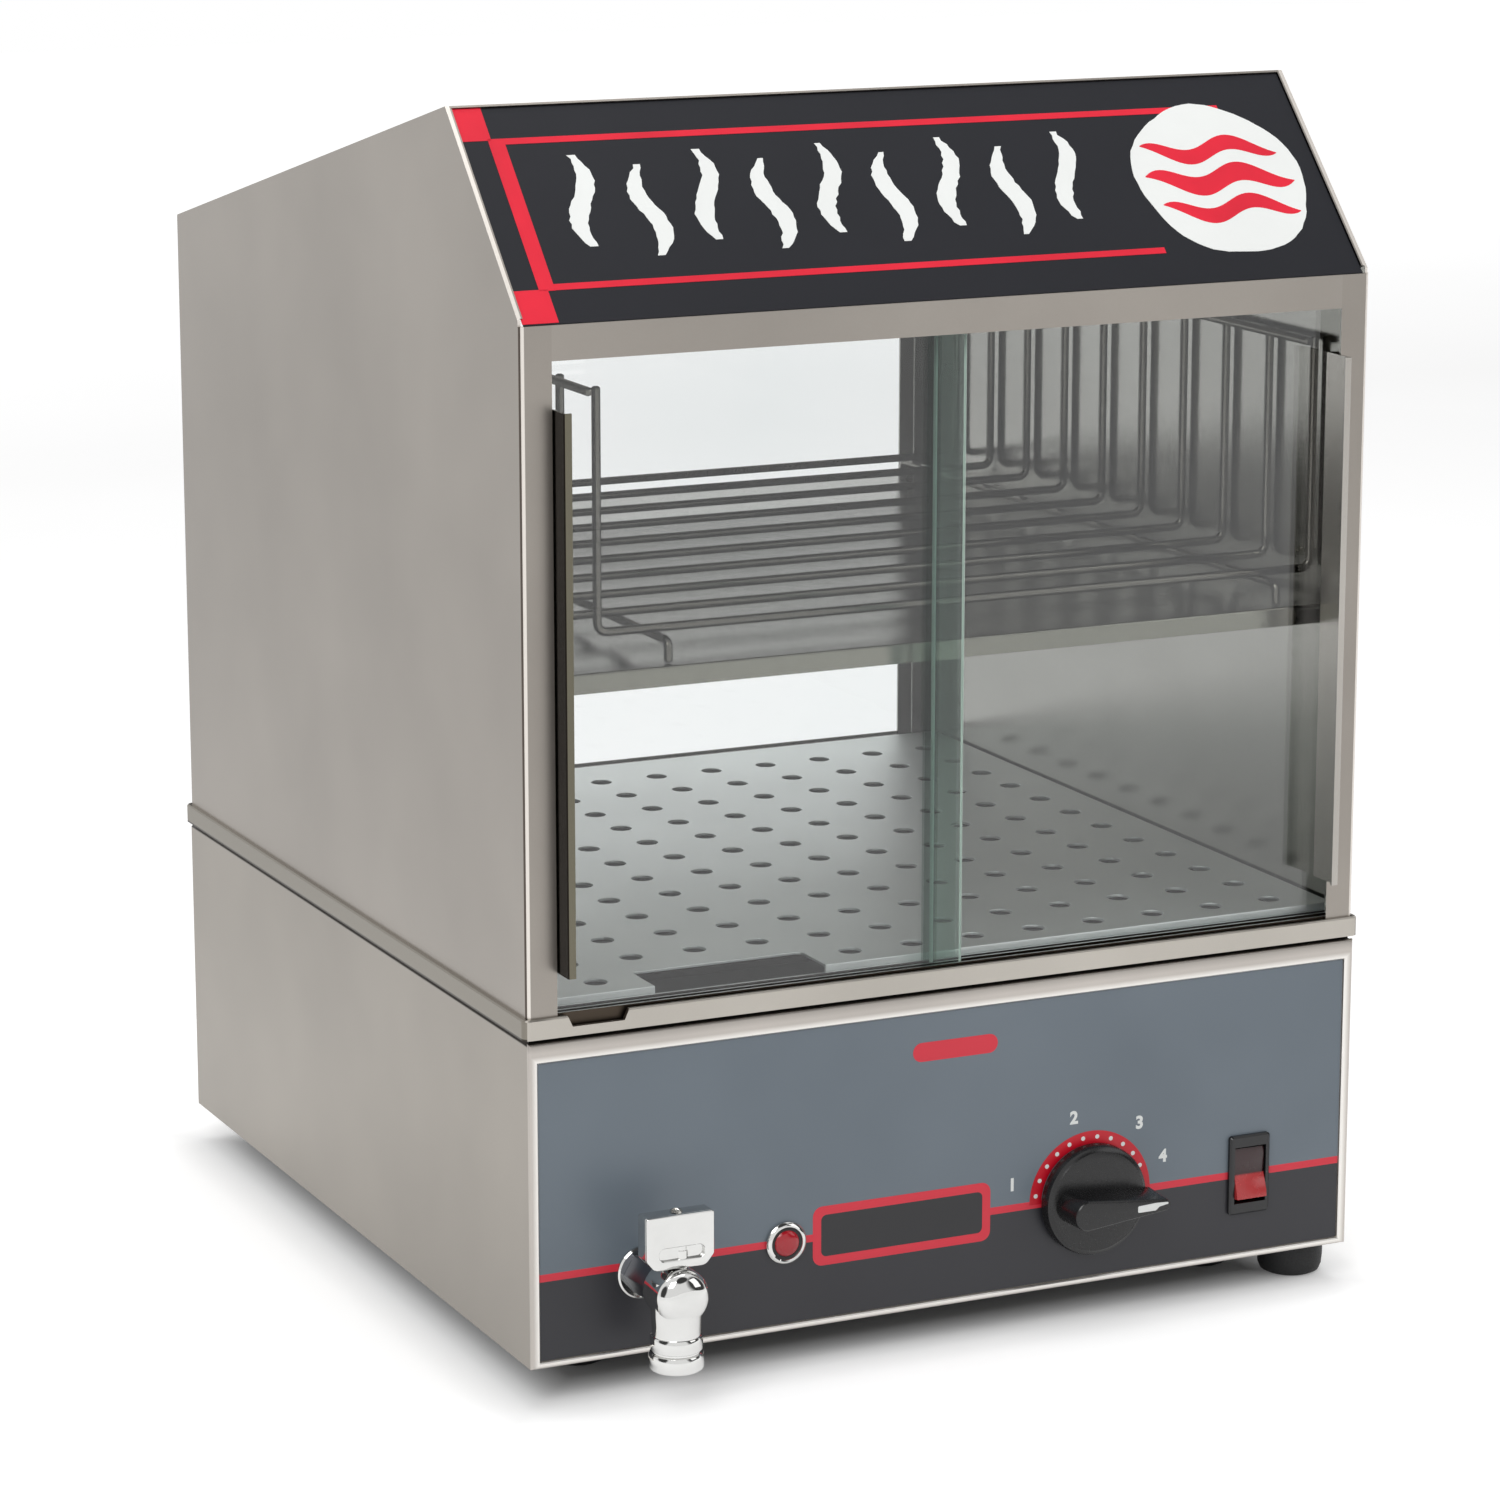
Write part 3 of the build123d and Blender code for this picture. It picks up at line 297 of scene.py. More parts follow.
# Painted shade: the pan's dark tone makes the tray's holes and the finger notch look shaded.
steel_pan = brushed_metal("steel_pan", colour(64, 63, 60), across, (0.25, 0.4), 0.06)
steel_strip = brushed_metal("steel_strip", colour(178, 174, 168), upright, (0.16, 0.26))
chrome = bright_metal("chrome", colour(216, 216, 214), (0.03, 0.1), 0.04)
# Painted shade: the wires' dark tone stands in for the dark hood interior that they reflect.
wire_steel = bright_metal("wire_steel", colour(92, 90, 84), (0.12, 0.2))
neck_steel = bright_metal("neck_steel", colour(112, 114, 121), (0.32, 0.44), 0.05)
zinc = bright_metal("zinc", colour(190, 190, 184), (0.25, 0.4), 0.08)
screw_steel = bright_metal("screw_steel", colour(186, 184, 178), (0.16, 0.3), 0.06)
sheath = bright_metal("sheath", colour(96, 90, 84), (0.3, 0.5), 0.1)


def tinted(mat, factor_of, tone):
    """Another tone laid over a metal's own where factor_of(tree) says so."""
    tree = mat.node_tree
    socket = shader_of(mat).inputs["Base Color"]
    own = socket.links[0].from_socket
    tree.links.new(mixed(tree, factor_of(tree), own, tone), socket)


def sides_of(tree):
    return math_node(tree, "GREATER_THAN", magnitude(tree, coord_parts(tree, "Normal")["X"]), 0.5)


def seam_shade(tree):
    """Dark line under the band along the top of the base's sides."""
    starts, ends = shell_high.z - 1.5 * mm, shell_high.z - 0.9 * mm
    return spread(tree, coord_parts(tree)["Z"], 0.0, 1.0, starts, ends)


# Painted shade along the lower edge of the band's sides, over the seam.
def band_foot_shade(tree):
    low_edge = math_node(tree, "LESS_THAN", coord_parts(tree)["Z"], shell_high.z + 2.3 * mm)
    return times(tree, low_edge, sides_of(tree))


def ring_edge_highlight(reach):
    """Painted highlight: 1 beside the label, falling to 0 at reach millimetres from it."""

    def factor(tree):
        parts = coord_parts(tree)
        out = minus(tree, magnitude(tree, parts["X"]), label_high.x)
        up = minus(tree, parts["Z"], label_high.z)
        down = minus(tree, label_low.z, parts["Z"])
        away = math_node(tree, "MAXIMUM", math_node(tree, "MAXIMUM", out, up), down)
        return spread(tree, away, 1.0, 0.0, 0.8 * mm, reach * mm)

    return factor


# Painted shade on the front frame, darker towards the seam under the band.
def ring_rim_shade(tree):
    return spread(tree, coord_parts(tree)["Z"], 0.0, 0.8, shell_high.z - 4 * mm, shell_high.z)


# Painted shade on the grip's web side, which faces the gap.
def web_side_shade(tree):
    return math_node(tree, "LESS_THAN", coord_parts(tree, "Normal")["X"], -0.5)


# Front-facing faces, which take painted shade.
def track_front_shade(tree):
    return math_node(tree, "LESS_THAN", coord_parts(tree, "Normal")["Y"], -0.5)


def notch_shade(tree):
    """Painted shade: 1 close behind the base's front, under the tray's finger notch."""
    return spread(tree, coord_parts(tree)["Y"], 0.92, 0.0, front + 6 * mm, front + 34 * mm)


tinted(steel_base, seam_shade, colour(52, 48, 46))
# Painted shade: the band's side faces are darker than its front.
tinted(steel_band, sides_of, colour(134, 129, 120))
# Painted shade of the seam on the band's lower side edge.
tinted(steel_band, band_foot_shade, colour(70, 66, 62))
# Painted highlight on the front frame beside the label.
tinted(steel_ring, ring_edge_highlight(3.2), colour(234, 231, 226))
# Painted shade under the band on the front frame's top.
tinted(steel_ring, ring_rim_shade, colour(140, 135, 130))
# Painted shade on the left door handle's web.
tinted(steel_grip, web_side_shade, colour(34, 30, 26))
# Painted shade on the bottom track's front face, seen through the notch.
tinted(steel_track, track_front_shade, colour(72, 64, 56))
# Painted shade in the pan under the tray's finger notch.
tinted(steel_pan, notch_shade, colour(26, 25, 24))


# ---- Plastics, rubber, glass and paint ---------------------------------------
def textured(name, tone, rough, grain_scale, relief, cloud=0.12):
    """Moulded or painted surface: fine texture, and a slow change of tone."""
    mat, tree, shader = new_material(name)
    fine = noise(tree, object_coords(tree), grain_scale, 3.0, 0.6)
    slow = noise(tree, object_coords(tree), 25, 3.0, 0.5)
    tint = ramp(tree, slow, [(0.3, shaded(tone, 1 - cloud)), (0.7, shaded(tone, 1 + cloud))])
    set_surface(tree, shader, tint, spread(tree, fine, *rough))
    bump(tree, fine, relief, 0.0003, shader.inputs["Normal"])
    return mat


black_plastic = textured("black_plastic", colour(34, 34, 35), (0.32, 0.45), 1500, 0.12)
gloss_black = textured("gloss_black", colour(26, 26, 28), (0.16, 0.24), 900, 0.03)
rubber = textured("rubber", colour(30, 30, 31), (0.55, 0.75), 1200, 0.2)
white_ink = textured("white_ink", colour(226, 228, 226), (0.35, 0.45), 700, 0.05, 0.02)
red_ink = textured("red_ink", colour(212, 44, 62), (0.32, 0.42), 700, 0.05, 0.03)
black_ink = textured("black_ink", colour(30, 30, 33), (0.3, 0.4), 700, 0.05, 0.05)
sign_black = textured("sign_black", colour(30, 31, 37), (0.34, 0.42), 500, 0.03, 0.05)
sign_red = textured("sign_red", colour(226, 36, 58), (0.34, 0.42), 500, 0.03, 0.12)
sign_white = textured("sign_white", colour(236, 238, 236), (0.36, 0.44), 500, 0.05, 0.02)
knob_black = textured("knob_black", colour(22, 22, 23), (0.2, 0.3), 1500, 0.08)
band_red = textured("band_red", colour(196, 8, 34), (0.32, 0.42), 700, 0.05, 0.06)
seal_black = textured("seal_black", colour(24, 22, 22), (0.5, 0.6), 1200, 0.1)
gland_black = textured("gland_black", colour(28, 28, 29), (0.4, 0.5), 1200, 0.12)
for satin in (sign_black, sign_red, sign_white):
    shader_of(satin).inputs["Specular IOR Level"].default_value = 0.2


def translucent(name, tone, rough):
    mat = textured(name, tone, rough, 300, 0.03, 0.1)
    shader = shader_of(mat)
    shader.inputs["Transmission Weight"].default_value = 0.15
    shader.inputs["Coat Weight"].default_value = 0.25
    shader.inputs["Coat Roughness"].default_value = 0.06
    return mat


lens_red = translucent("lens_red", colour(178, 12, 32), (0.12, 0.2))
rocker_red = translucent("rocker_red", colour(188, 52, 54), (0.2, 0.3))


def pressed_half(tree):
    """Upper half of the rocker key, which is pressed in and takes less light."""
    return spread(tree, coord_parts(tree)["Z"], 0.0, 1.0, rocker.z - 0.4 * mm, rocker.z + 0.4 * mm)


tinted(rocker_red, pressed_half, colour(44, 3, 8))


def label_film():
    """Printed film: grey-blue above the stripe and black below it, the stripe red."""
    mat, tree, shader = new_material("label_film")
    stripe_half = 1.55 * mm
    height = coord_parts(tree)["Z"]
    fine = noise(tree, object_coords(tree), 1100, 3.0, 0.6)
    slow = noise(tree, object_coords(tree), 12, 2.0, 0.5)
    blue = ramp(tree, slow, [(0.3, colour(100, 110, 119)), (0.7, colour(108, 118, 127))])
    black = ramp(tree, slow, [(0.3, colour(36, 36, 41)), (0.7, colour(42, 42, 47))])
    red = colour(212, 44, 62)
    above = math_node(tree, "GREATER_THAN", height, dial.z + stripe_half)
    below = math_node(tree, "LESS_THAN", height, dial.z - stripe_half)
    banded = mixed(tree, below, mixed(tree, above, red, blue), black)
    set_surface(tree, shader, banded, spread(tree, fine, 0.34, 0.44))
    bump(tree, fine, 0.08, 0.0002, shader.inputs["Normal"])
    return mat


def glass_pane(name, overlap=None):
    """Clear float glass with ground edges; where the doors overlap, its face carries painted
    greener shade, with a strip of darker painted shade beside the overlap.
    """
    mat, tree, shader = new_material(name)
    facing = magnitude(tree, coord_parts(tree, "Normal")["Y"])
    edge = math_node(tree, "LESS_THAN", facing, 0.9)
    smear = noise(tree, object_coords(tree), 9, 4.0, 0.6)
    face = ramp(tree, smear, [(0.3, colour(246, 248, 248)), (0.7, colour(249, 250, 250))])
    if overlap:
        lapped = within(tree, coord_parts(tree)["X"], *overlap)
        # Painted shade: the overlap is tinted greener and darker.
        face = mixed(tree, lapped, face, colour(206, 220, 214))
        strip = within(tree, coord_parts(tree)["X"], overlap[0] - 6 * mm, overlap[0])
        # Painted shade: a darker strip beside the overlap.
        face = mixed(tree, strip, face, colour(150, 168, 162))
    tree.links.new(mixed(tree, edge, face, colour(206, 220, 212)), shader.inputs["Base Color"])
    tree.links.new(minus(tree, 1.0, edge), shader.inputs["Transmission Weight"])
    tree.links.new(spread(tree, smear, 0.0, 0.004), shader.inputs["Roughness"])
    shader.inputs["IOR"].default_value = 1.5
    clear = tree.nodes.new("ShaderNodeBsdfTransparent")
    clear.inputs["Color"].default_value = colour(247, 250, 249)
    rays = tree.nodes.new("ShaderNodeLightPath")
    mix = tree.nodes.new("ShaderNodeMixShader")
    output = tree.nodes["Material Output"]
    tree.links.new(rays.outputs["Is Shadow Ray"], mix.inputs["Fac"])
    tree.links.new(shader.outputs["BSDF"], mix.inputs[1])
    tree.links.new(clear.outputs["BSDF"], mix.inputs[2])
    tree.links.new(mix.outputs["Shader"], output.inputs["Surface"])
    return mat


film = label_film()
glass = glass_pane("glass")
right_pane_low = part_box("right_door_glass")[0]
left_pane_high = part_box("left_door_glass")[1]
door_glass = glass_pane("door_glass", (right_pane_low.x, left_pane_high.x))


# ---- Materials of the carried-over CAD nodes ---------------------------------
def clad(mesh, finish):
    mesh.materials.clear()
    mesh.materials.append(finish)


finishes = [
    (steel_base, "base_shell", "base_top_frame", "base_rear_panel"),
    (steel_ring, "front_frame"),
    (film, "control_label"),
    (steel_pan, "bottom_plate", "water_pan", "pan_bottom", "pan_flange"),
    (rubber, "foot_front_left", "foot_front_right", "foot_rear_left", "foot_rear_right"),
    (rubber, "foot_corner"),
    (sheath, "heating_element"),
    (zinc, "drain_pipe", "thermostat_shaft"),
    (chrome, "tap_neck", "tap_body", "spout_collar", "tap_stem", "tap_handle", "lamp_bezel"),
    (black_plastic, "thermostat_body", "dial_knob", "cord_gland"),
    (gloss_black, "switch_housing"),
    (rocker_red, "switch_rocker"),
    (lens_red, "lamp_lens"),
    (steel_band, "hood_band"),
    (side_left, "left_side_panel"),
    (side_right, "right_side_panel"),
    (steel_front, "header"),
    (steel_strip, "top_track", "right_door_handle"),
    (steel_track, "bottom_track"),
    (steel_roof, "roof_panel"),
    (sign_black, "sign_panel"),
    (steel_frame, "rear_frame"),
    (glass, "rear_glass"),
    (steel_inner, "left_shelf_rail", "right_shelf_rail"),
    (steel_shelf, "bun_shelf"),
    (door_glass, "left_door_glass", "right_door_glass"),
    (steel_grip, "left_door_handle"),
    (wire_steel, "bun_rack_wires", "bun_rack_rails"),
    (steel_tray, "perforated_tray"),
]
for finish, *node_names in finishes:
    for node_name in node_names:
        clad(nodes[node_name].data, finish)


# ---- Shape helpers -----------------------------------------------------------
upright_axis = Matrix.Identity(3)
forward_axis = Matrix(((1, 0, 0), (0, 0, -1), (0, 1, 0)))
backward_axis = Matrix(((-1, 0, 0), (0, 0, 1), (0, 1, 0)))
downward_axis = Matrix(((1, 0, 0), (0, -1, 0), (0, 0, -1)))


def mesh_from(name, bm):
    mesh = bpy.data.meshes.new(name)
    bm.to_mesh(mesh)
    bm.free()
    return mesh


def closed_mesh(name, bm):
    """Mesh of a bmesh, its faces turned outwards."""
    bmesh.ops.recalc_face_normals(bm, faces=bm.faces)
    return mesh_from(name, bm)


def merged(meshes):
    bm = bmesh.new()
    for mesh in meshes:
        bm.from_mesh(mesh)
        bpy.data.meshes.remove(mesh)
    return bm


def joined(name, *meshes, sharp=32):
    """Meshes in millimetres as one, welded, with edges sharp above an angle in degrees."""
    bm = merged(meshes)
    bmesh.ops.remove_doubles(bm, verts=bm.verts, dist=0.001)
    mesh = closed_mesh(name, bm)
    mesh.shade_smooth()
    mesh.set_sharp_from_angle(angle=math.radians(sharp))
    return mesh


def pieces_joined(name, *meshes):
    """Meshes that are already placed, as one mesh, with their own sharp edges kept."""
    return mesh_from(name, merged(meshes))


def placed(mesh, centre, axis=upright_axis):
    """Mesh turned from its own z axis onto axis and moved to centre, in millimetres before."""
    mesh.transform(Matrix.Translation(centre) @ axis.to_4x4() @ Matrix.Scale(mm, 4))
    return mesh


def corner_arc(before, corner, after, radius, steps):
    """Points of the arc that rounds a corner between the points before and after it."""
    back = (before - corner).normalized()
    ahead = (after - corner).normalized()
    half = back.angle(ahead) / 2
    middle = corner + (back + ahead).normalized() * (radius / math.sin(half))
    first = corner + back * (radius / math.tan(half)) - middle
    last = corner + ahead * (radius / math.tan(half)) - middle
    return [middle + first.slerp(last, step / steps) * radius for step in range(steps + 1)]


def rounded(corners, steps=5):
    """Closed outline whose corners (x, y, radius) are turned into short arcs."""
    outline = []
    for index, (x, y, radius) in enumerate(corners):
        corner = Vector((x, y))
        before = Vector(corners[index - 1][:2])
        after = Vector(corners[(index + 1) % len(corners)][:2])
        outline += corner_arc(before, corner, after, radius, steps) if radius else [corner]
    return outline


def rounded_box(wide, high, radius, centre, steps=8):
    x, y = wide / 2, high / 2
    corners = [(-x, -y, radius), (x, -y, radius), (x, y, radius), (-x, y, radius)]
    return [point + Vector(centre) for point in rounded(corners, steps)]


def hexagon(radius, corner_radius):
    corners = [(math.cos(math.radians(60 * k)), math.sin(math.radians(60 * k))) for k in range(6)]
    return rounded([(radius * x, radius * y, corner_radius) for x, y in corners], 3)


def full_turn(steps):
    return [2 * math.pi * step / steps for step in range(steps)]


def arc(radius, first, last, steps):
    """Points of an arc round the origin, from one angle to another, in degrees."""
    angles = [math.radians(first + (last - first) * step / steps) for step in range(steps + 1)]
    return [(radius * math.cos(a), radius * math.sin(a)) for a in angles]


def circle(radius, centre=(0, 0), steps=40):
    points = [Vector((radius * math.cos(t), radius * math.sin(t))) for t in full_turn(steps)]
    return [point + Vector(centre) for point in points]


def bridge(bm, low, high):
    """Faces between two rings of vertices; a ring may be one vertex, repeated."""
    for step in range(len(low)):
        after = (step + 1) % len(low)
        corners = list(dict.fromkeys((low[step], low[after], high[after], high[step])))
        if len(corners) > 2:
            bm.faces.new(corners)


def lathe(profile, segments=72):
    """Closed surface of a profile of (radius, height) points turned round the z axis."""
    bm = bmesh.new()
    rings = []
    for radius, height in profile:
        if radius < 1e-6:
            rings.append([bm.verts.new((0, 0, height))] * segments)
            continue
        ring = circle(radius, steps=segments)
        rings.append([bm.verts.new((*point, height)) for point in ring])
    for low, high in zip(rings, rings[1:] + rings[:1]):
        bridge(bm, low, high)
    return closed_mesh("lathe", bm)


def mesh_of(curve, place):
    """The mesh that a curve or text makes, moved to a place; the curve is used up."""
    holder = bpy.data.objects.new("holder", curve)
    mesh = bpy.data.meshes.new_from_object(holder)
    bpy.data.objects.remove(holder)
    bpy.data.curves.remove(curve)
    mesh.transform(Matrix.Translation(place))
    return mesh


def plate(outlines, low, high, edge=0.0):
    """Filled outlines between two heights; an outline inside another one is a hole."""
    curve = bpy.data.curves.new("outline", "CURVE")
    curve.dimensions = "2D"
    curve.fill_mode = "BOTH"
    curve.extrude = (high - low) / 2 - edge
    curve.bevel_depth = edge
    curve.bevel_resolution = 2
    curve.offset = -edge
    for outline in outlines:
        spline = curve.splines.new("POLY")
        spline.points.add(len(outline) - 1)
        for point, place in zip(spline.points, outline):
            point.co = (place[0], place[1], 0, 1)
        spline.use_cyclic_u = True
    return mesh_of(curve, (0, 0, (low + high) / 2))


def tube(path, radius):
    """Round rod along a path of points, its ends a little rounded."""
    sides = 14
    bm = bmesh.new()
    rings = []
    normal = None
    end_radius, end_reach = radius * 0.55, radius * 0.35
    reach = len(path) - 1
    for index, point in enumerate(path):
        ahead = (path[min(index + 1, reach)] - path[max(index - 1, 0)]).normalized()
        if normal is None:
            normal = ahead.orthogonal().normalized()
        normal = (normal - ahead * normal.dot(ahead)).normalized()
        side = ahead.cross(normal)
        stations = [(point, radius)]
        if index == 0:
            stations = [(point, end_radius), (point + ahead * end_reach, radius)]
        elif index == reach:
            stations = [(point - ahead * end_reach, radius), (point, end_radius)]
        for centre, size in stations:
            arms = [normal * math.cos(t) + side * math.sin(t) for t in full_turn(sides)]
            rings.append([bm.verts.new(centre + arm * size) for arm in arms])
    for low, high in zip(rings, rings[1:]):
        bridge(bm, low, high)
    bm.faces.new(list(reversed(rings[0])))
    bm.faces.new(rings[-1])
    return closed_mesh("tube", bm)


def bent(corners, radius):
    """Open 3-D path through corner points, each inner corner an arc of the radius."""
    steps = 6
    path = [corners[0]]
    for before, corner, after in zip(corners, corners[1:], corners[2:]):
        path += corner_arc(before, corner, after, radius, steps)
    return path + [corners[-1]]


def add_piece(name, mesh, body, slot, finish, *replaced):
    clad(mesh, finish)
    piece = bpy.data.objects.new(name, mesh)
    scene.collection.objects.link(piece)
    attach(piece, body)
    if replaced:
        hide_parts(*replaced)


def screw_head(radius):
    """Pan head with a cross recess, its axis along z and its seat at z = 0."""
    height = 1.5
    dome = [(0, height)]
    for step in range(1, 7):
        turn = math.radians(90 - step * 12)
        dome.append((radius * math.cos(turn) * 0.97, height * (0.25 + 0.75 * math.sin(turn))))
    head = lathe(dome + [(radius, height * 0.15), (radius, 0), (0, 0)], 40)
    arm, half, depth = radius * 0.55, radius * 0.11, height * 0.55
    cross = [(half, half), (half, arm), (-half, arm)]
    for quarter_back in range(9):
        x, y = cross[quarter_back]
        cross.append((-y, x))
    cutter = joined("cross", plate([cross], height - depth, height + 1))
    body_object = bpy.data.objects.new("head", joined("head", head))
    cutter_object = bpy.data.objects.new("cutter", cutter)
    scene.collection.objects.link(body_object)
    scene.collection.objects.link(cutter_object)
    cut = body_object.modifiers.new("cut", "BOOLEAN")
    cut.operation = "DIFFERENCE"
    cut.object = cutter_object
    bpy.context.view_layer.update()
    evaluated = body_object.evaluated_get(bpy.context.evaluated_depsgraph_get())
    mesh = bpy.data.meshes.new_from_object(evaluated)
    bpy.data.objects.remove(body_object)
    bpy.data.objects.remove(cutter_object)
    return mesh


def screws(name, body, places, axis, radius=3.2):
    """One object of equal screw heads at the given places, turned by different amounts."""
    pattern = screw_head(radius)
    heads = []
    for place in places:
        head = pattern.copy()
        head.transform(Matrix.Rotation(chance.uniform(0, math.pi), 4, "Z"))
        heads.append(placed(head, place, axis))
    bpy.data.meshes.remove(pattern)
    add_piece(name, joined(name, *heads), body, "zinc", screw_steel)


# ---- Tap: rose and neck, ball valve, spout ring, box handle ------------------
spout_x = tap.x - 1.4 * mm
spout_foot = base_bottom + 3.4 * mm
valve_z = base_bottom + 33.8 * mm
rose_place = Vector((tap.x - 3.2 * mm, label_face, base_bottom + 34 * mm))
pipe_x = spout_x - 0.6 * mm


def make_tap():
    rose = lathe([(4, 0), (10.7, 0), (11.0, 0.3), (10.9, 1.0), (10.2, 1.6), (4, 1.6)])
    reach = (label_face - tap.y) / mm
    aside, upward = 1.8, 1.0
    bar = plate([hexagon(8.9, 0.6)], 1.5, reach - 6, 0.5)
    for vertex in bar.vertices:
        vertex.co.x += aside * vertex.co.z / reach
        vertex.co.y += upward * vertex.co.z / reach
    mesh = placed(joined("tap_rose", rose), rose_place, forward_axis)
    add_piece("tap_rose", mesh, "base", "chrome", chrome, "tap_neck")
    mesh = placed(joined("tap_elbow", bar, sharp=25), rose_place, forward_axis)
    add_piece("tap_elbow", mesh, "base", "chrome", neck_steel, "tap_neck")

    cap = [(0, -9.5), (10.2, -9.5), (11.0, -8.7), (11.2, -4.0), (11.2, 4.6)]
    cap += [(10.9, 6.1), (10.2, 7.5), (8.9, 8.9), (7.2, 9.9), (5.0, 10.6), (2.6, 10.9), (0, 11.0)]
    drum = placed(joined("drum", lathe(cap)), Vector((spout_x, tap.y, valve_z)), forward_axis)
    spout = [(0, 6.0), (9.6, 6.0), (10.1, 0.0), (10.1, -8.0), (9.7, -14.0), (9.7, -17.4)]
    spout += [(4.4, -17.4), (4.4, -6.0), (0, -6.0)]
    pipe = placed(joined("pipe", lathe(spout)), Vector((pipe_x, tap.y, valve_z)))
    bonnet = lathe([(0, 0), (2.7, 0), (2.7, 5.6), (2.2, 6.2), (0, 6.2)])
    bonnet = placed(bonnet, Vector((tap.x, tap.y, valve_z + 9.6 * mm)))
    mesh = pieces_joined("tap_valve", drum, pipe, bonnet)
    add_piece("tap_valve", mesh, "base", "chrome", chrome, "tap_body")

    ring = [(5.0, 0.3), (5.3, 0), (9.9, 0), (10.6, 0.5), (11.0, 1.3), (11.0, 6.0), (10.6, 6.8)]
    ring += [(9.7, 7.2), (9.7, 7.9), (10.2, 8.2), (10.5, 8.8), (10.5, 13.2), (10.1, 14.0)]
    ring += [(9.2, 14.3), (5.0, 14.3)]
    mesh = placed(joined("spout_ring", lathe(ring)), Vector((pipe_x, tap.y, spout_foot)))
    add_piece("spout_ring", mesh, "base", "chrome", chrome, "spout_collar")

    low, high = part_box("tap_handle")
    tall = (high.z - low.z) / mm
    half = (high.x - low.x) / mm / 2
    outline = [(-half, 1.6, 1.6), (3.5 - half, -2.8, 4.0), (half - 3.5, -2.8, 4.0)]
    outline += [(half, 1.6, 1.6), (half, tall, 1.0), (-half, tall, 1.0)]
    pocket = rounded_box(19.4, 5.2, 2.4, (0.6, 3.4))
    back = plate([rounded(outline)], 0, 7.6, 0.6)
    skin = plate([rounded(outline), pocket], 7.2, 8.8, 0.5)
    foot = low.z + 2.2 * mm
    grip = joined("grip", back, skin, sharp=25)
    grip = placed(grip, Vector((spout_x, tap.y + 5.6 * mm, foot)), forward_axis)
    lug = lathe([(0, -1.6), (2.9, -1.6), (2.9, 4), (0, 4)], 40)
    lug = placed(lug, Vector((tap.x, tap.y, foot)))
    mesh = pieces_joined("tap_grip", grip, lug)
    add_piece("tap_grip", mesh, "tap_lever", "chrome", chrome, "tap_handle")
    top = Vector((spout_x, tap.y + 1.2 * mm, high.z + 2.15 * mm))
    screws("tap_screw", "tap_lever", [top], upright_axis, 2.6)


# ---- Controls: dial knob, lamp, rocker ---------------------------------------
def make_knob():
    low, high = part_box("dial_knob")
    face = (dial.y - low.y) / mm
    seat = (dial.y - high.y) / mm
    skirt_top = seat + 7
    skirt = lathe(
        [(0, seat), (23.1, seat), (23.5, seat + 0.5), (23.5, seat + 4.0), (23.0, seat + 5.2)]
        + [(22.2, seat + 5.5), (21.2, seat + 6.3), (18.5, seat + 6.9), (0, skirt_top)],
        96,
    )
    hull = [Vector((-12.5, 0)) + Vector(p) for p in arc(7.3, 100, 260, 16)]
    hull += [Vector((23.4, 0)) + Vector(p) for p in arc(2.8, -82, 82, 10)]
    grip = plate([hull], seat + 4, face, 1.2)
    for vertex in grip.vertices:
        rise = (vertex.co.z - skirt_top) / (face - skirt_top)
        vertex.co.y *= 1 - 0.1 * max(rise, 0)
        vertex.co.x *= 1 - 0.03 * max(rise, 0)
    mesh = placed(joined("knob", skirt, grip, sharp=25), dial, forward_axis)
    add_piece("knob", mesh, "dial", "black_plastic", knob_black, "dial_knob")
    mark = [(9.6, -1.5, 0.6), (18.0, -1.5, 0.6), (19.6, -0.1, 0.3), (23.8, 0.6, 0.3)]
    mark += [(23.8, 1.4, 0.3), (18.0, 1.7, 0.6), (9.6, 1.3, 0.6)]
    pointer = joined("knob_mark", plate([rounded(mark, 3)], face - 0.2, face + 0.08))
    add_piece("knob_mark", placed(pointer, dial, forward_axis), "dial", "label", white_ink)


def make_lamp():
    centre = Vector((lamp.x, label_face, lamp.z))
    ring = [(6.5, 0), (8.6, 0), (8.9, 0.5), (8.8, 1.3), (8.2, 2.0), (7.5, 2.3), (6.9, 2.1)]
    ring += [(6.5, 1.5)]
    mesh = placed(joined("lamp_ring", lathe(ring)), centre, forward_axis)
    add_piece("lamp_ring", mesh, "base", "chrome", chrome, "lamp_bezel")
    seal = lathe([(5.4, 0.2), (6.6, 0.2), (6.6, 1.7), (6.1, 1.9), (5.4, 1.7)])
    mesh = placed(joined("lamp_seal", seal), centre, forward_axis)
    add_piece("lamp_seal", mesh, "base", "black_plastic", seal_black)
    lens = [(0, 3.1), (2.2, 3.0), (3.9, 2.7), (4.9, 2.2), (5.5, 1.5), (5.6, 0.6), (5.6, 0), (5, 0)]
    lens += [(5, -12.0), (0, -12.0)]
    mesh = placed(joined("lamp_dome", lathe(lens)), centre, forward_axis)
    add_piece("lamp_dome", mesh, "base", "red_lens", lens_red, "lamp_lens")


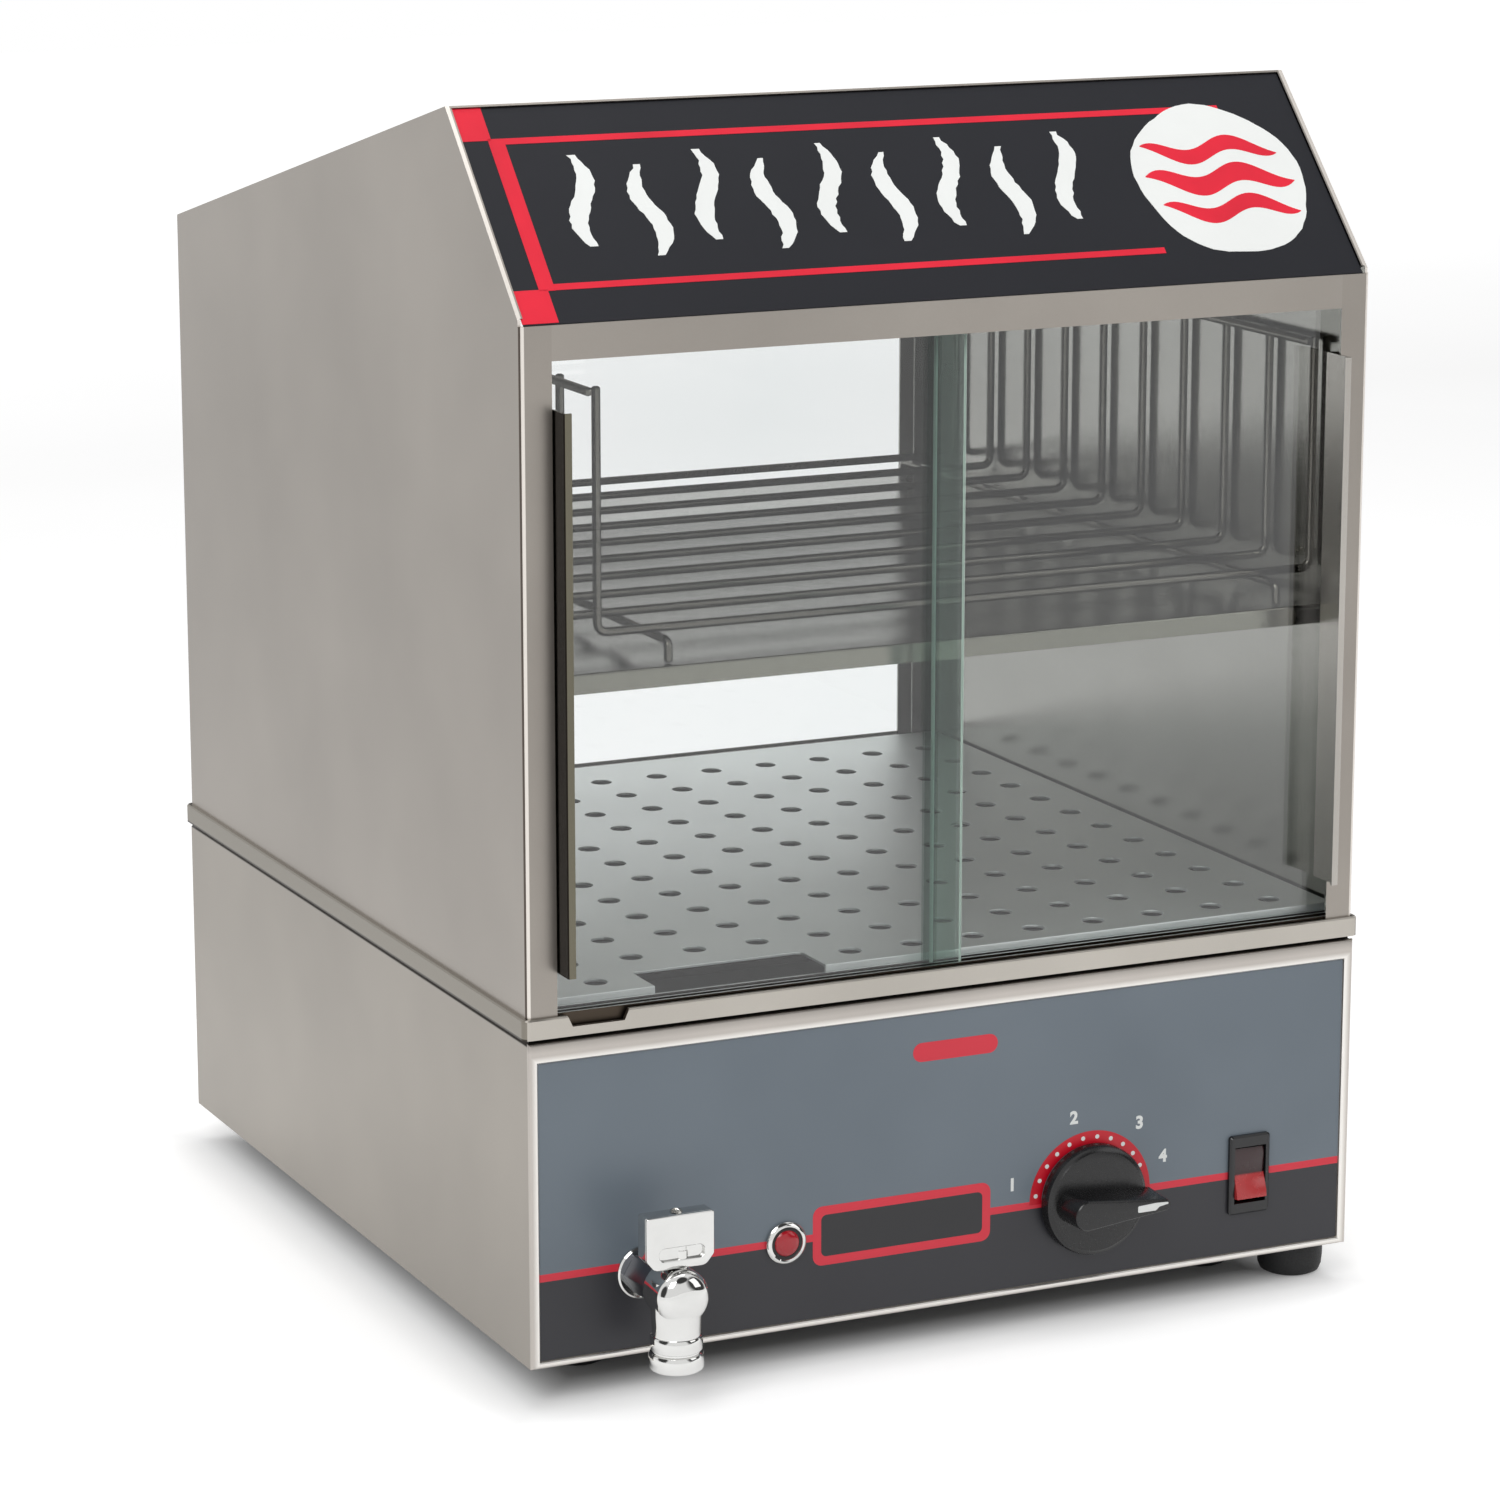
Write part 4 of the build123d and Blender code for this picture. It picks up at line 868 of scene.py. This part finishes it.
def make_rocker():
    """Rocker key with two hollow faces, at rest with its upper half pressed in."""
    section = [(-5.6, -12.0), (-5.1, -8.0), (-4.3, -4.0), (-3.4, 0.0), (-4.3, 4.0), (-5.1, 8.0)]
    section += [(-5.6, 12.0), (3.0, 10.5), (3.0, -10.5)]
    low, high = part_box("switch_rocker")
    half = (high.x - low.x) / mm / 2
    reach = 11.9
    lean = math.radians(-9)
    cos, sin = math.cos(lean), math.sin(lean)
    turned = []
    for y, z in section:
        limit = min(1.0, reach / math.hypot(y, z))
        y, z = y * limit, z * limit
        turned.append((y * cos - z * sin, y * sin + z * cos))
    key = joined("key", plate([turned], -half, half, 0.35), sharp=25)
    key.transform(Matrix(((0, 0, 1), (1, 0, 0), (0, 1, 0))).to_4x4())
    key = placed(key, rocker)
    add_piece("rocker_key", key, "rocker", "red_rocker", rocker_red, "switch_rocker")


# ---- Prints on the label -----------------------------------------------------
def print_piece(name, outlines, ink, centre, axis, body, slot, proud):
    """Flat print: each group of outlines filled, and standing proud by some millimetres."""
    mesh = joined(name, *[plate(group, -0.02, proud) for group in outlines])
    add_piece(name, placed(mesh, centre, axis), body, slot, ink)


def label_print(name, outlines, ink, proud=0.06):
    print_piece(name, outlines, ink, label_corner, forward_axis, "base", "label", proud)


def make_prints():
    """Prints, placed in millimetres from the label's side of the base and its underside."""
    badge_mid = (164.0, 37.5)
    frame_outline = rounded_box(80.8, 25.0, 4.2, badge_mid)
    field = rounded_box(73.4, 17.6, 2.4, badge_mid)
    pill = rounded_box(38.7, 8.0, 3.99, (187.7, 109.0))
    dial_mid = Vector((dial.x - left, dial.z - base_bottom)) / mm
    band = [dial_mid + Vector(p) for p in arc(28.4, 0, 180, 48)]
    band += [dial_mid + Vector(p) for p in arc(22.9, 180, 0, 48)]
    label_print("red_prints", [[frame_outline, field], [pill]], red_ink)
    label_print("dial_band", [[band]], band_red, 0.07)
    label_print("black_field", [[field]], black_ink, 0.05)
    dots = []
    for step in range(11):
        turn = math.radians(172 - 14.8 * step)
        dot_mid = dial_mid + 25.75 * Vector((math.cos(turn), math.sin(turn)))
        dots.append([circle(0.95, dot_mid, 20)])
    label_print("dial_dots", dots, white_ink, 0.1)


def make_numbers():
    """Plain numbers round the dial, where the photograph has small words."""
    places = {"1": (214.5, 47.0), "2": (243.0, 72.0), "3": (274.0, 66.0), "4": (285.5, 50.0)}
    thick = 0.03
    meshes = []
    for figure, (x, z) in places.items():
        text = bpy.data.curves.new("figure", "FONT")
        text.body = figure
        text.size = 7.4
        text.extrude = thick
        text.offset = 0.3
        text.align_x = text.align_y = "CENTER"
        meshes.append(mesh_of(text, (x, z, thick)))
    mesh = placed(joined("dial_numbers", *meshes), label_corner, forward_axis)
    add_piece("dial_numbers", mesh, "base", "label", white_ink)


# ---- Sign: red border and a plain design of steam strokes and a striped disc -
def stroke(x, low, high, wide, lean, sway):
    """Brush stroke that rises in an S, thick in the middle and ragged along its sides."""
    side_a, side_b = [], []
    for step in range(25):
        t = step / 24
        centre = x + lean * t + sway * math.sin(2 * math.pi * t)
        half = wide / 2 * (0.35 + 0.65 * math.sin(math.pi * min(1, t * 1.05)) ** 0.7)
        height = low + (high - low) * t
        side_a.append(Vector((centre - half + chance.uniform(-0.5, 0.5), height)))
        side_b.append(Vector((centre + half + chance.uniform(-0.5, 0.5), height)))
    return side_a + side_b[::-1]


def ragged_disc(middle, radius):
    rim = []
    for turn in full_turn(72):
        reach = radius + 0.8 * math.sin(5 * turn) + chance.uniform(-0.25, 0.25)
        rim.append(middle + reach * Vector((1.02 * math.cos(turn), math.sin(turn))))
    return rim


def wave(middle, offset, half, reach):
    """Wavy stripe, half thick on each side of its line and tapered to both ends."""
    upper, lower = [], []
    for step in range(37):
        along = step / 18 - 1
        x = reach * along
        taper = half * (1 - abs(along) ** 4) + 0.2
        height = offset + 3.4 * math.sin(x / 6.4)
        upper.append(middle + Vector((x, height + taper)))
        lower.append(middle + Vector((x, height - taper)))
    return upper + lower[::-1]


def make_sign():
    """Sign's prints, in millimetres along its lower edge and up its slope."""
    run, climb, eave = 73.0, 76.6, 414.0
    rise = Vector((0, run, climb)).normalized()
    outward = Vector((0, -climb, run)).normalized()
    eave_edge = Vector((left, front, base_bottom + eave * mm))
    face = max((v.co - eave_edge).dot(outward) for v in nodes["sign_panel"].data.vertices)
    slope = Matrix(((1, 0, 0), (0, rise.y, outward.y), (0, rise.z, outward.z)))
    origin = eave_edge + outward * face

    def sign_print(name, outlines, ink, proud):
        groups = [[outline] for outline in outlines]
        print_piece(name, groups, ink, origin, slope, "hood", "sign", proud)

    # Two squares at the left edge, the upright bar between them and two long bars.
    boxes = [
        (1.8, 14.6, 88.8, 104.6),
        (1.8, 16.8, 1.6, 17.2),
        (13.2, 19.8, 16.5, 89.5),
        (19.7, 337.6, 86.6, 89.5),
        (19.7, 286.3, 16.6, 19.5),
    ]
    border = [[(x0, y0), (x1, y0), (x1, y1), (x0, y1)] for x0, x1, y0, y1 in boxes]
    sign_print("sign_red", border, sign_red, 0.12)
    strokes = []
    for index in range(9):
        x = 42 + index * 26.5
        low, high, sway = (30, 74, 3.6) if index % 2 else (36, 80, -3.6)
        strokes.append(stroke(x, low, high, 8.5, 3.0, sway))
    sign_print("sign_white", strokes, sign_white, 0.14)
    disc_mid = Vector((325, 52))
    sign_print("sign_disc", [ragged_disc(disc_mid, 38)], sign_white, 0.16)
    shapes = ((15, 3.6, 31), (0, 4.6, 34), (-15, 3.6, 31))
    waves = [wave(disc_mid, *shape) for shape in shapes]
    sign_print("sign_waves", waves, sign_red, 0.22)


# ---- Bun rack of round wire, bent with an even radius ------------------------
def make_rack():
    low, high = [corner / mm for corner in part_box("bun_rack_wires")]
    rail_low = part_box("bun_rack_rails")[0] / mm
    radius, pitch, count = 1.8, 35.7, 10
    wire_y = [low.y + radius + pitch * step for step in range(count)]
    x_left, x_right = low.x + radius, high.x - radius
    z_low = low.z + radius
    wires = []
    for y in wire_y:
        route = [(x_left, high.z), (x_left, z_low), (x_right, z_low), (x_right, high.z)]
        wires.append(tube(bent([Vector((x, y, z)) for x, z in route], 4.2), radius))
    mesh = placed(joined("rack_wires", *wires, sharp=50), Vector())
    add_piece("rack_wires", mesh, "rack", "wire", wire_steel, "bun_rack_wires")
    rods = []
    rim_z = high.z - radius
    rim_start = wire_y[0] - radius
    rim_end = wire_y[-1] + radius
    for x in (x_left - 2 * radius, x_right - 2 * radius):
        rods.append(tube([Vector((x, rim_start, rim_z)), Vector((x, rim_end, rim_z))], radius))
    runner_foot, runner_z = rail_low.z, z_low - 2 * radius
    ahead, behind = front / mm + 26, front / mm + 368
    route = [(ahead, runner_foot), (ahead, runner_z), (behind, runner_z), (behind, runner_foot)]
    for x in (left / mm + 72, left / mm + 349):
        rods.append(tube(bent([Vector((x, y, z)) for y, z in route], 3.0), radius))
    mesh = placed(joined("rack_rails", *rods, sharp=50), Vector())
    add_piece("rack_rails", mesh, "rack", "wire", wire_steel, "bun_rack_rails")


# ---- Perforated tray with round holes ----------------------------------------
def make_tray():
    low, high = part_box("perforated_tray")
    origin = Vector((0, low.y, low.z))
    half = (high.x - low.x) / mm / 2
    deep = (high.y - low.y) / mm
    tall = (high.z - low.z) / mm
    wall = 1.2
    offset = (front - low.y) / mm
    notch_left, notch_right = left / mm + 60, left / mm + 135
    notch_deep = 36 + offset
    edge = [(-half, 0, 1.5), (notch_left, 0, 0), (notch_left, notch_deep, 2.5)]
    edge += [(notch_right, notch_deep, 2.5), (notch_right, 0, 0)]
    edge += [(half, 0, 1.5), (half, deep, 1.5), (-half, deep, 1.5)]
    rows = columns = 12
    pitch_x, pitch_y, hole_radius, margin = 28.13, 28.86, 4.75, 6
    holes = []
    for column in range(columns):
        for row in range(rows):
            x = left / mm + 195.8 + (column - (columns - 1) / 2) * pitch_x
            y = offset + 28.7 + row * pitch_y
            near_notch = notch_left - margin < x < notch_right + margin
            if near_notch and y < notch_deep + margin:
                continue
            holes.append(circle(hole_radius, (x, y), 28))
    top = plate([rounded(edge, 4)] + holes, tall - wall, tall, 0.25)
    inner, back = half - wall, deep - wall
    skirt = [(-half, 0, 1.5), (notch_left, 0, 0), (notch_left, wall, 0), (-inner, wall, 0)]
    skirt += [(-inner, back, 0), (inner, back, 0), (inner, wall, 0), (notch_right, wall, 0)]
    skirt += [(notch_right, 0, 0), (half, 0, 1.5), (half, deep, 1.5), (-half, deep, 1.5)]
    sides = plate([rounded(skirt, 4)], 0, tall - 1.0)
    mesh = placed(joined("tray_sheet", top, sides, sharp=6), origin)
    add_piece("tray_sheet", mesh, "tray", "stainless", steel_tray, "perforated_tray")


# ---- Feet, cord gland and the screws -----------------------------------------
corner_foot_shift = Vector((2.5, -3, 0)) * mm


def make_feet():
    profile = [(0, 1.2), (4.6, 1.2), (5.2, 0.0), (10.6, 0.0), (12.6, 1.0), (13.6, 3.4), (14.0, 7.5)]
    profile += [(14.0, 15.6), (13.5, 16.6), (12.8, 17.0), (0, 17.0)]
    for suffix in ("front_left", "front_right", "rear_left", "rear_right", "corner"):
        low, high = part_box("foot_" + suffix)
        place = Vector(((low.x + high.x) / 2, (low.y + high.y) / 2, low.z))
        if suffix == "corner":
            place += corner_foot_shift
        mesh = joined("foot", lathe(profile), sharp=50)
        name = "rubber_foot_" + suffix
        add_piece(name, placed(mesh, place), "base", "rubber", rubber, "foot_" + suffix)


def make_gland():
    low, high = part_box("cord_gland")
    place = Vector(((low.x + high.x) / 2, shell_high.y, (low.z + high.z) / 2))
    nut = plate([hexagon(13, 0.8), circle(4.6)], 0, 5.0, 0.5)
    cap = lathe(
        [(4.2, -12), (9.0, -12), (9.0, 0.2), (9.9, 0.6), (9.9, 5.6), (9.2, 7.0), (7.8, 7.8)]
        + [(6.0, 8.0), (4.9, 7.8), (4.2, 7.0)],
    )
    ribs = []
    for step in range(12):
        rib = rounded_box(1.2, 1.0, 0.4, (9.7, 0), 2)
        spin = Matrix.Rotation(math.radians(30 * step), 2)
        ribs.append(plate([[spin @ point for point in rib]], 4.6, 6.4))
    mesh = placed(joined("gland_nut", nut, cap, *ribs), place, backward_axis)
    add_piece("gland_nut", mesh, "base", "black_plastic", gland_black, "cord_gland")


def make_screws():
    panel_low, panel_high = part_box("base_rear_panel")
    places = []
    for z in (panel_low.z + 14 * mm, panel_high.z - 14 * mm):
        for x in (panel_low.x + 7 * mm, panel_high.x - 7 * mm):
            places.append(Vector((x, shell_high.y, z)))
    screws("rear_screws", "base", places, backward_axis)
    plate_low, plate_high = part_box("bottom_plate")
    places = []
    for x in (plate_low.x + 9 * mm, 0, plate_high.x - 9 * mm):
        for y in (plate_low.y + 9 * mm, plate_high.y - 9 * mm):
            places.append(Vector((x, y, plate_low.z)))
    screws("bottom_screws", "base", places, downward_axis)


make_tap()
make_knob()
make_lamp()
make_rocker()
make_prints()
make_numbers()
make_sign()
make_rack()
make_tray()
make_feet()
make_gland()
make_screws()


# ---- Floor, lamps and world --------------------------------------------------
def ray_kinds(tree):
    """1 for camera and transmission rays, and 1 for glossy rays that are neither."""
    rays = tree.nodes.new("ShaderNodeLightPath")
    through = rays.outputs["Is Transmission Ray"]
    seen = math_node(tree, "MAXIMUM", rays.outputs["Is Camera Ray"], through)
    unseen = minus(tree, 1.0, seen)
    return seen, times(tree, rays.outputs["Is Glossy Ray"], unseen)


def make_floor():
    mat, tree, shader = new_material("floor_white")
    shader.inputs["Roughness"].default_value = 0.9
    shader.inputs["Specular IOR Level"].default_value = 0.0
    tone = ramp(tree, noise(tree, object_coords(tree), 3), [(0.3, grey(232)), (0.7, grey(234))])
    tree.links.new(tone, shader.inputs["Base Color"])
    glow = tree.nodes.new("ShaderNodeEmission")
    add = tree.nodes.new("ShaderNodeAddShader")
    seen, glossy = ray_kinds(tree)
    parts = coord_parts(tree)
    aside = minus(tree, magnitude(tree, parts["X"]), shell_high.x)
    middle_y = (shell_low.y + shell_high.y) / 2
    ahead = magnitude(tree, minus(tree, parts["Y"], middle_y))
    ahead = minus(tree, ahead, (shell_high.y - shell_low.y) / 2)
    gap = math_node(tree, "MAXIMUM", aside, ahead)
    # Painted shadow round the base: no glow under the base, then the shadow's edge, a slow fall and
    # a bright far floor.
    glowing = spread(tree, gap, 0.0, 0.43, -0.03, 0.02)
    for change, start, end in ((0.07, 0.012, 0.05), (-0.14, 0.15, 0.4), (0.2, 1.8, 3.2)):
        step = times(tree, spread(tree, gap, 0.0, 1.0, start, end), change)
        glowing = math_node(tree, "ADD", glowing, step)
    strength = times(tree, math_node(tree, "ADD", seen, glossy), glowing)
    tree.links.new(strength, glow.inputs["Strength"])
    tree.links.new(shader.outputs["BSDF"], add.inputs[0])
    tree.links.new(glow.outputs["Emission"], add.inputs[1])
    tree.links.new(add.outputs["Shader"], tree.nodes["Material Output"].inputs["Surface"])
    mesh = bpy.data.meshes.new("floor")
    half = 6.0
    corners = [(-half, -half, 0), (half, -half, 0), (half, half, 0), (-half, half, 0)]
    mesh.from_pydata(corners, [], [(0, 1, 2, 3)])
    mesh.materials.append(mat)
    floor = bpy.data.objects.new("floor", mesh)
    scene.collection.objects.link(floor)


def make_world():
    """White studio; gloss also sees dark flags, which give the plated parts their contrast.
    Each flag has a direction and the cosines at which it starts and is full."""
    flags = [
        (Vector((0.80, -0.50, 0.33)), 0.80, 0.90),
        (Vector((-0.95, -0.10, 0.28)), 0.90, 0.95),
        (Vector((0.10, -0.55, 0.83)), 0.93, 0.96),
        (Vector((0.35, 0.90, 0.25)), 0.93, 0.96),
    ]
    world = bpy.data.worlds.new("studio")
    scene.world = world
    world.use_nodes = True
    tree = world.node_tree
    background = tree.nodes["Background"]
    background.inputs["Color"].default_value = (1, 1, 1, 1)
    coords = tree.nodes.new("ShaderNodeTexCoord")
    seen, glossy = ray_kinds(tree)
    pattern = glossy
    for direction, outer, inner in flags:
        dot = tree.nodes.new("ShaderNodeVectorMath")
        dot.operation = "DOT_PRODUCT"
        tree.links.new(coords.outputs["Generated"], dot.inputs[0])
        dot.inputs[1].default_value = direction.normalized()
        shade = spread(tree, dot.outputs["Value"], 1.0, 0.06, outer, inner)
        pattern = times(tree, pattern, shade)
    shown = math_node(tree, "ADD", seen, pattern)
    matt = minus(tree, 1.0, math_node(tree, "ADD", seen, glossy))
    strength = math_node(tree, "ADD", shown, times(tree, matt, 0.6))
    tree.links.new(strength, background.inputs["Strength"])


def soft_lamp(name, place, aim, size, power):
    data = bpy.data.lights.new(name, "AREA")
    data.shape = "RECTANGLE"
    data.size, data.size_y = size
    data.energy = power
    lamp_object = bpy.data.objects.new(name, data)
    scene.collection.objects.link(lamp_object)
    lamp_object.location = place
    lamp_object.rotation_euler = (Vector(aim) - Vector(place)).to_track_quat("-Z", "Y").to_euler()


make_floor()
make_world()
middle = (0, 0, 0.25)
soft_lamp("key", (-1.6, -1.8, 2.2), middle, (1.4, 1.4), 26)
soft_lamp("fill", (1.8, -1.6, 1.2), middle, (1.2, 1.6), 9)
soft_lamp("top", (0.2, 0.4, 2.4), middle, (1.6, 1.6), 12)
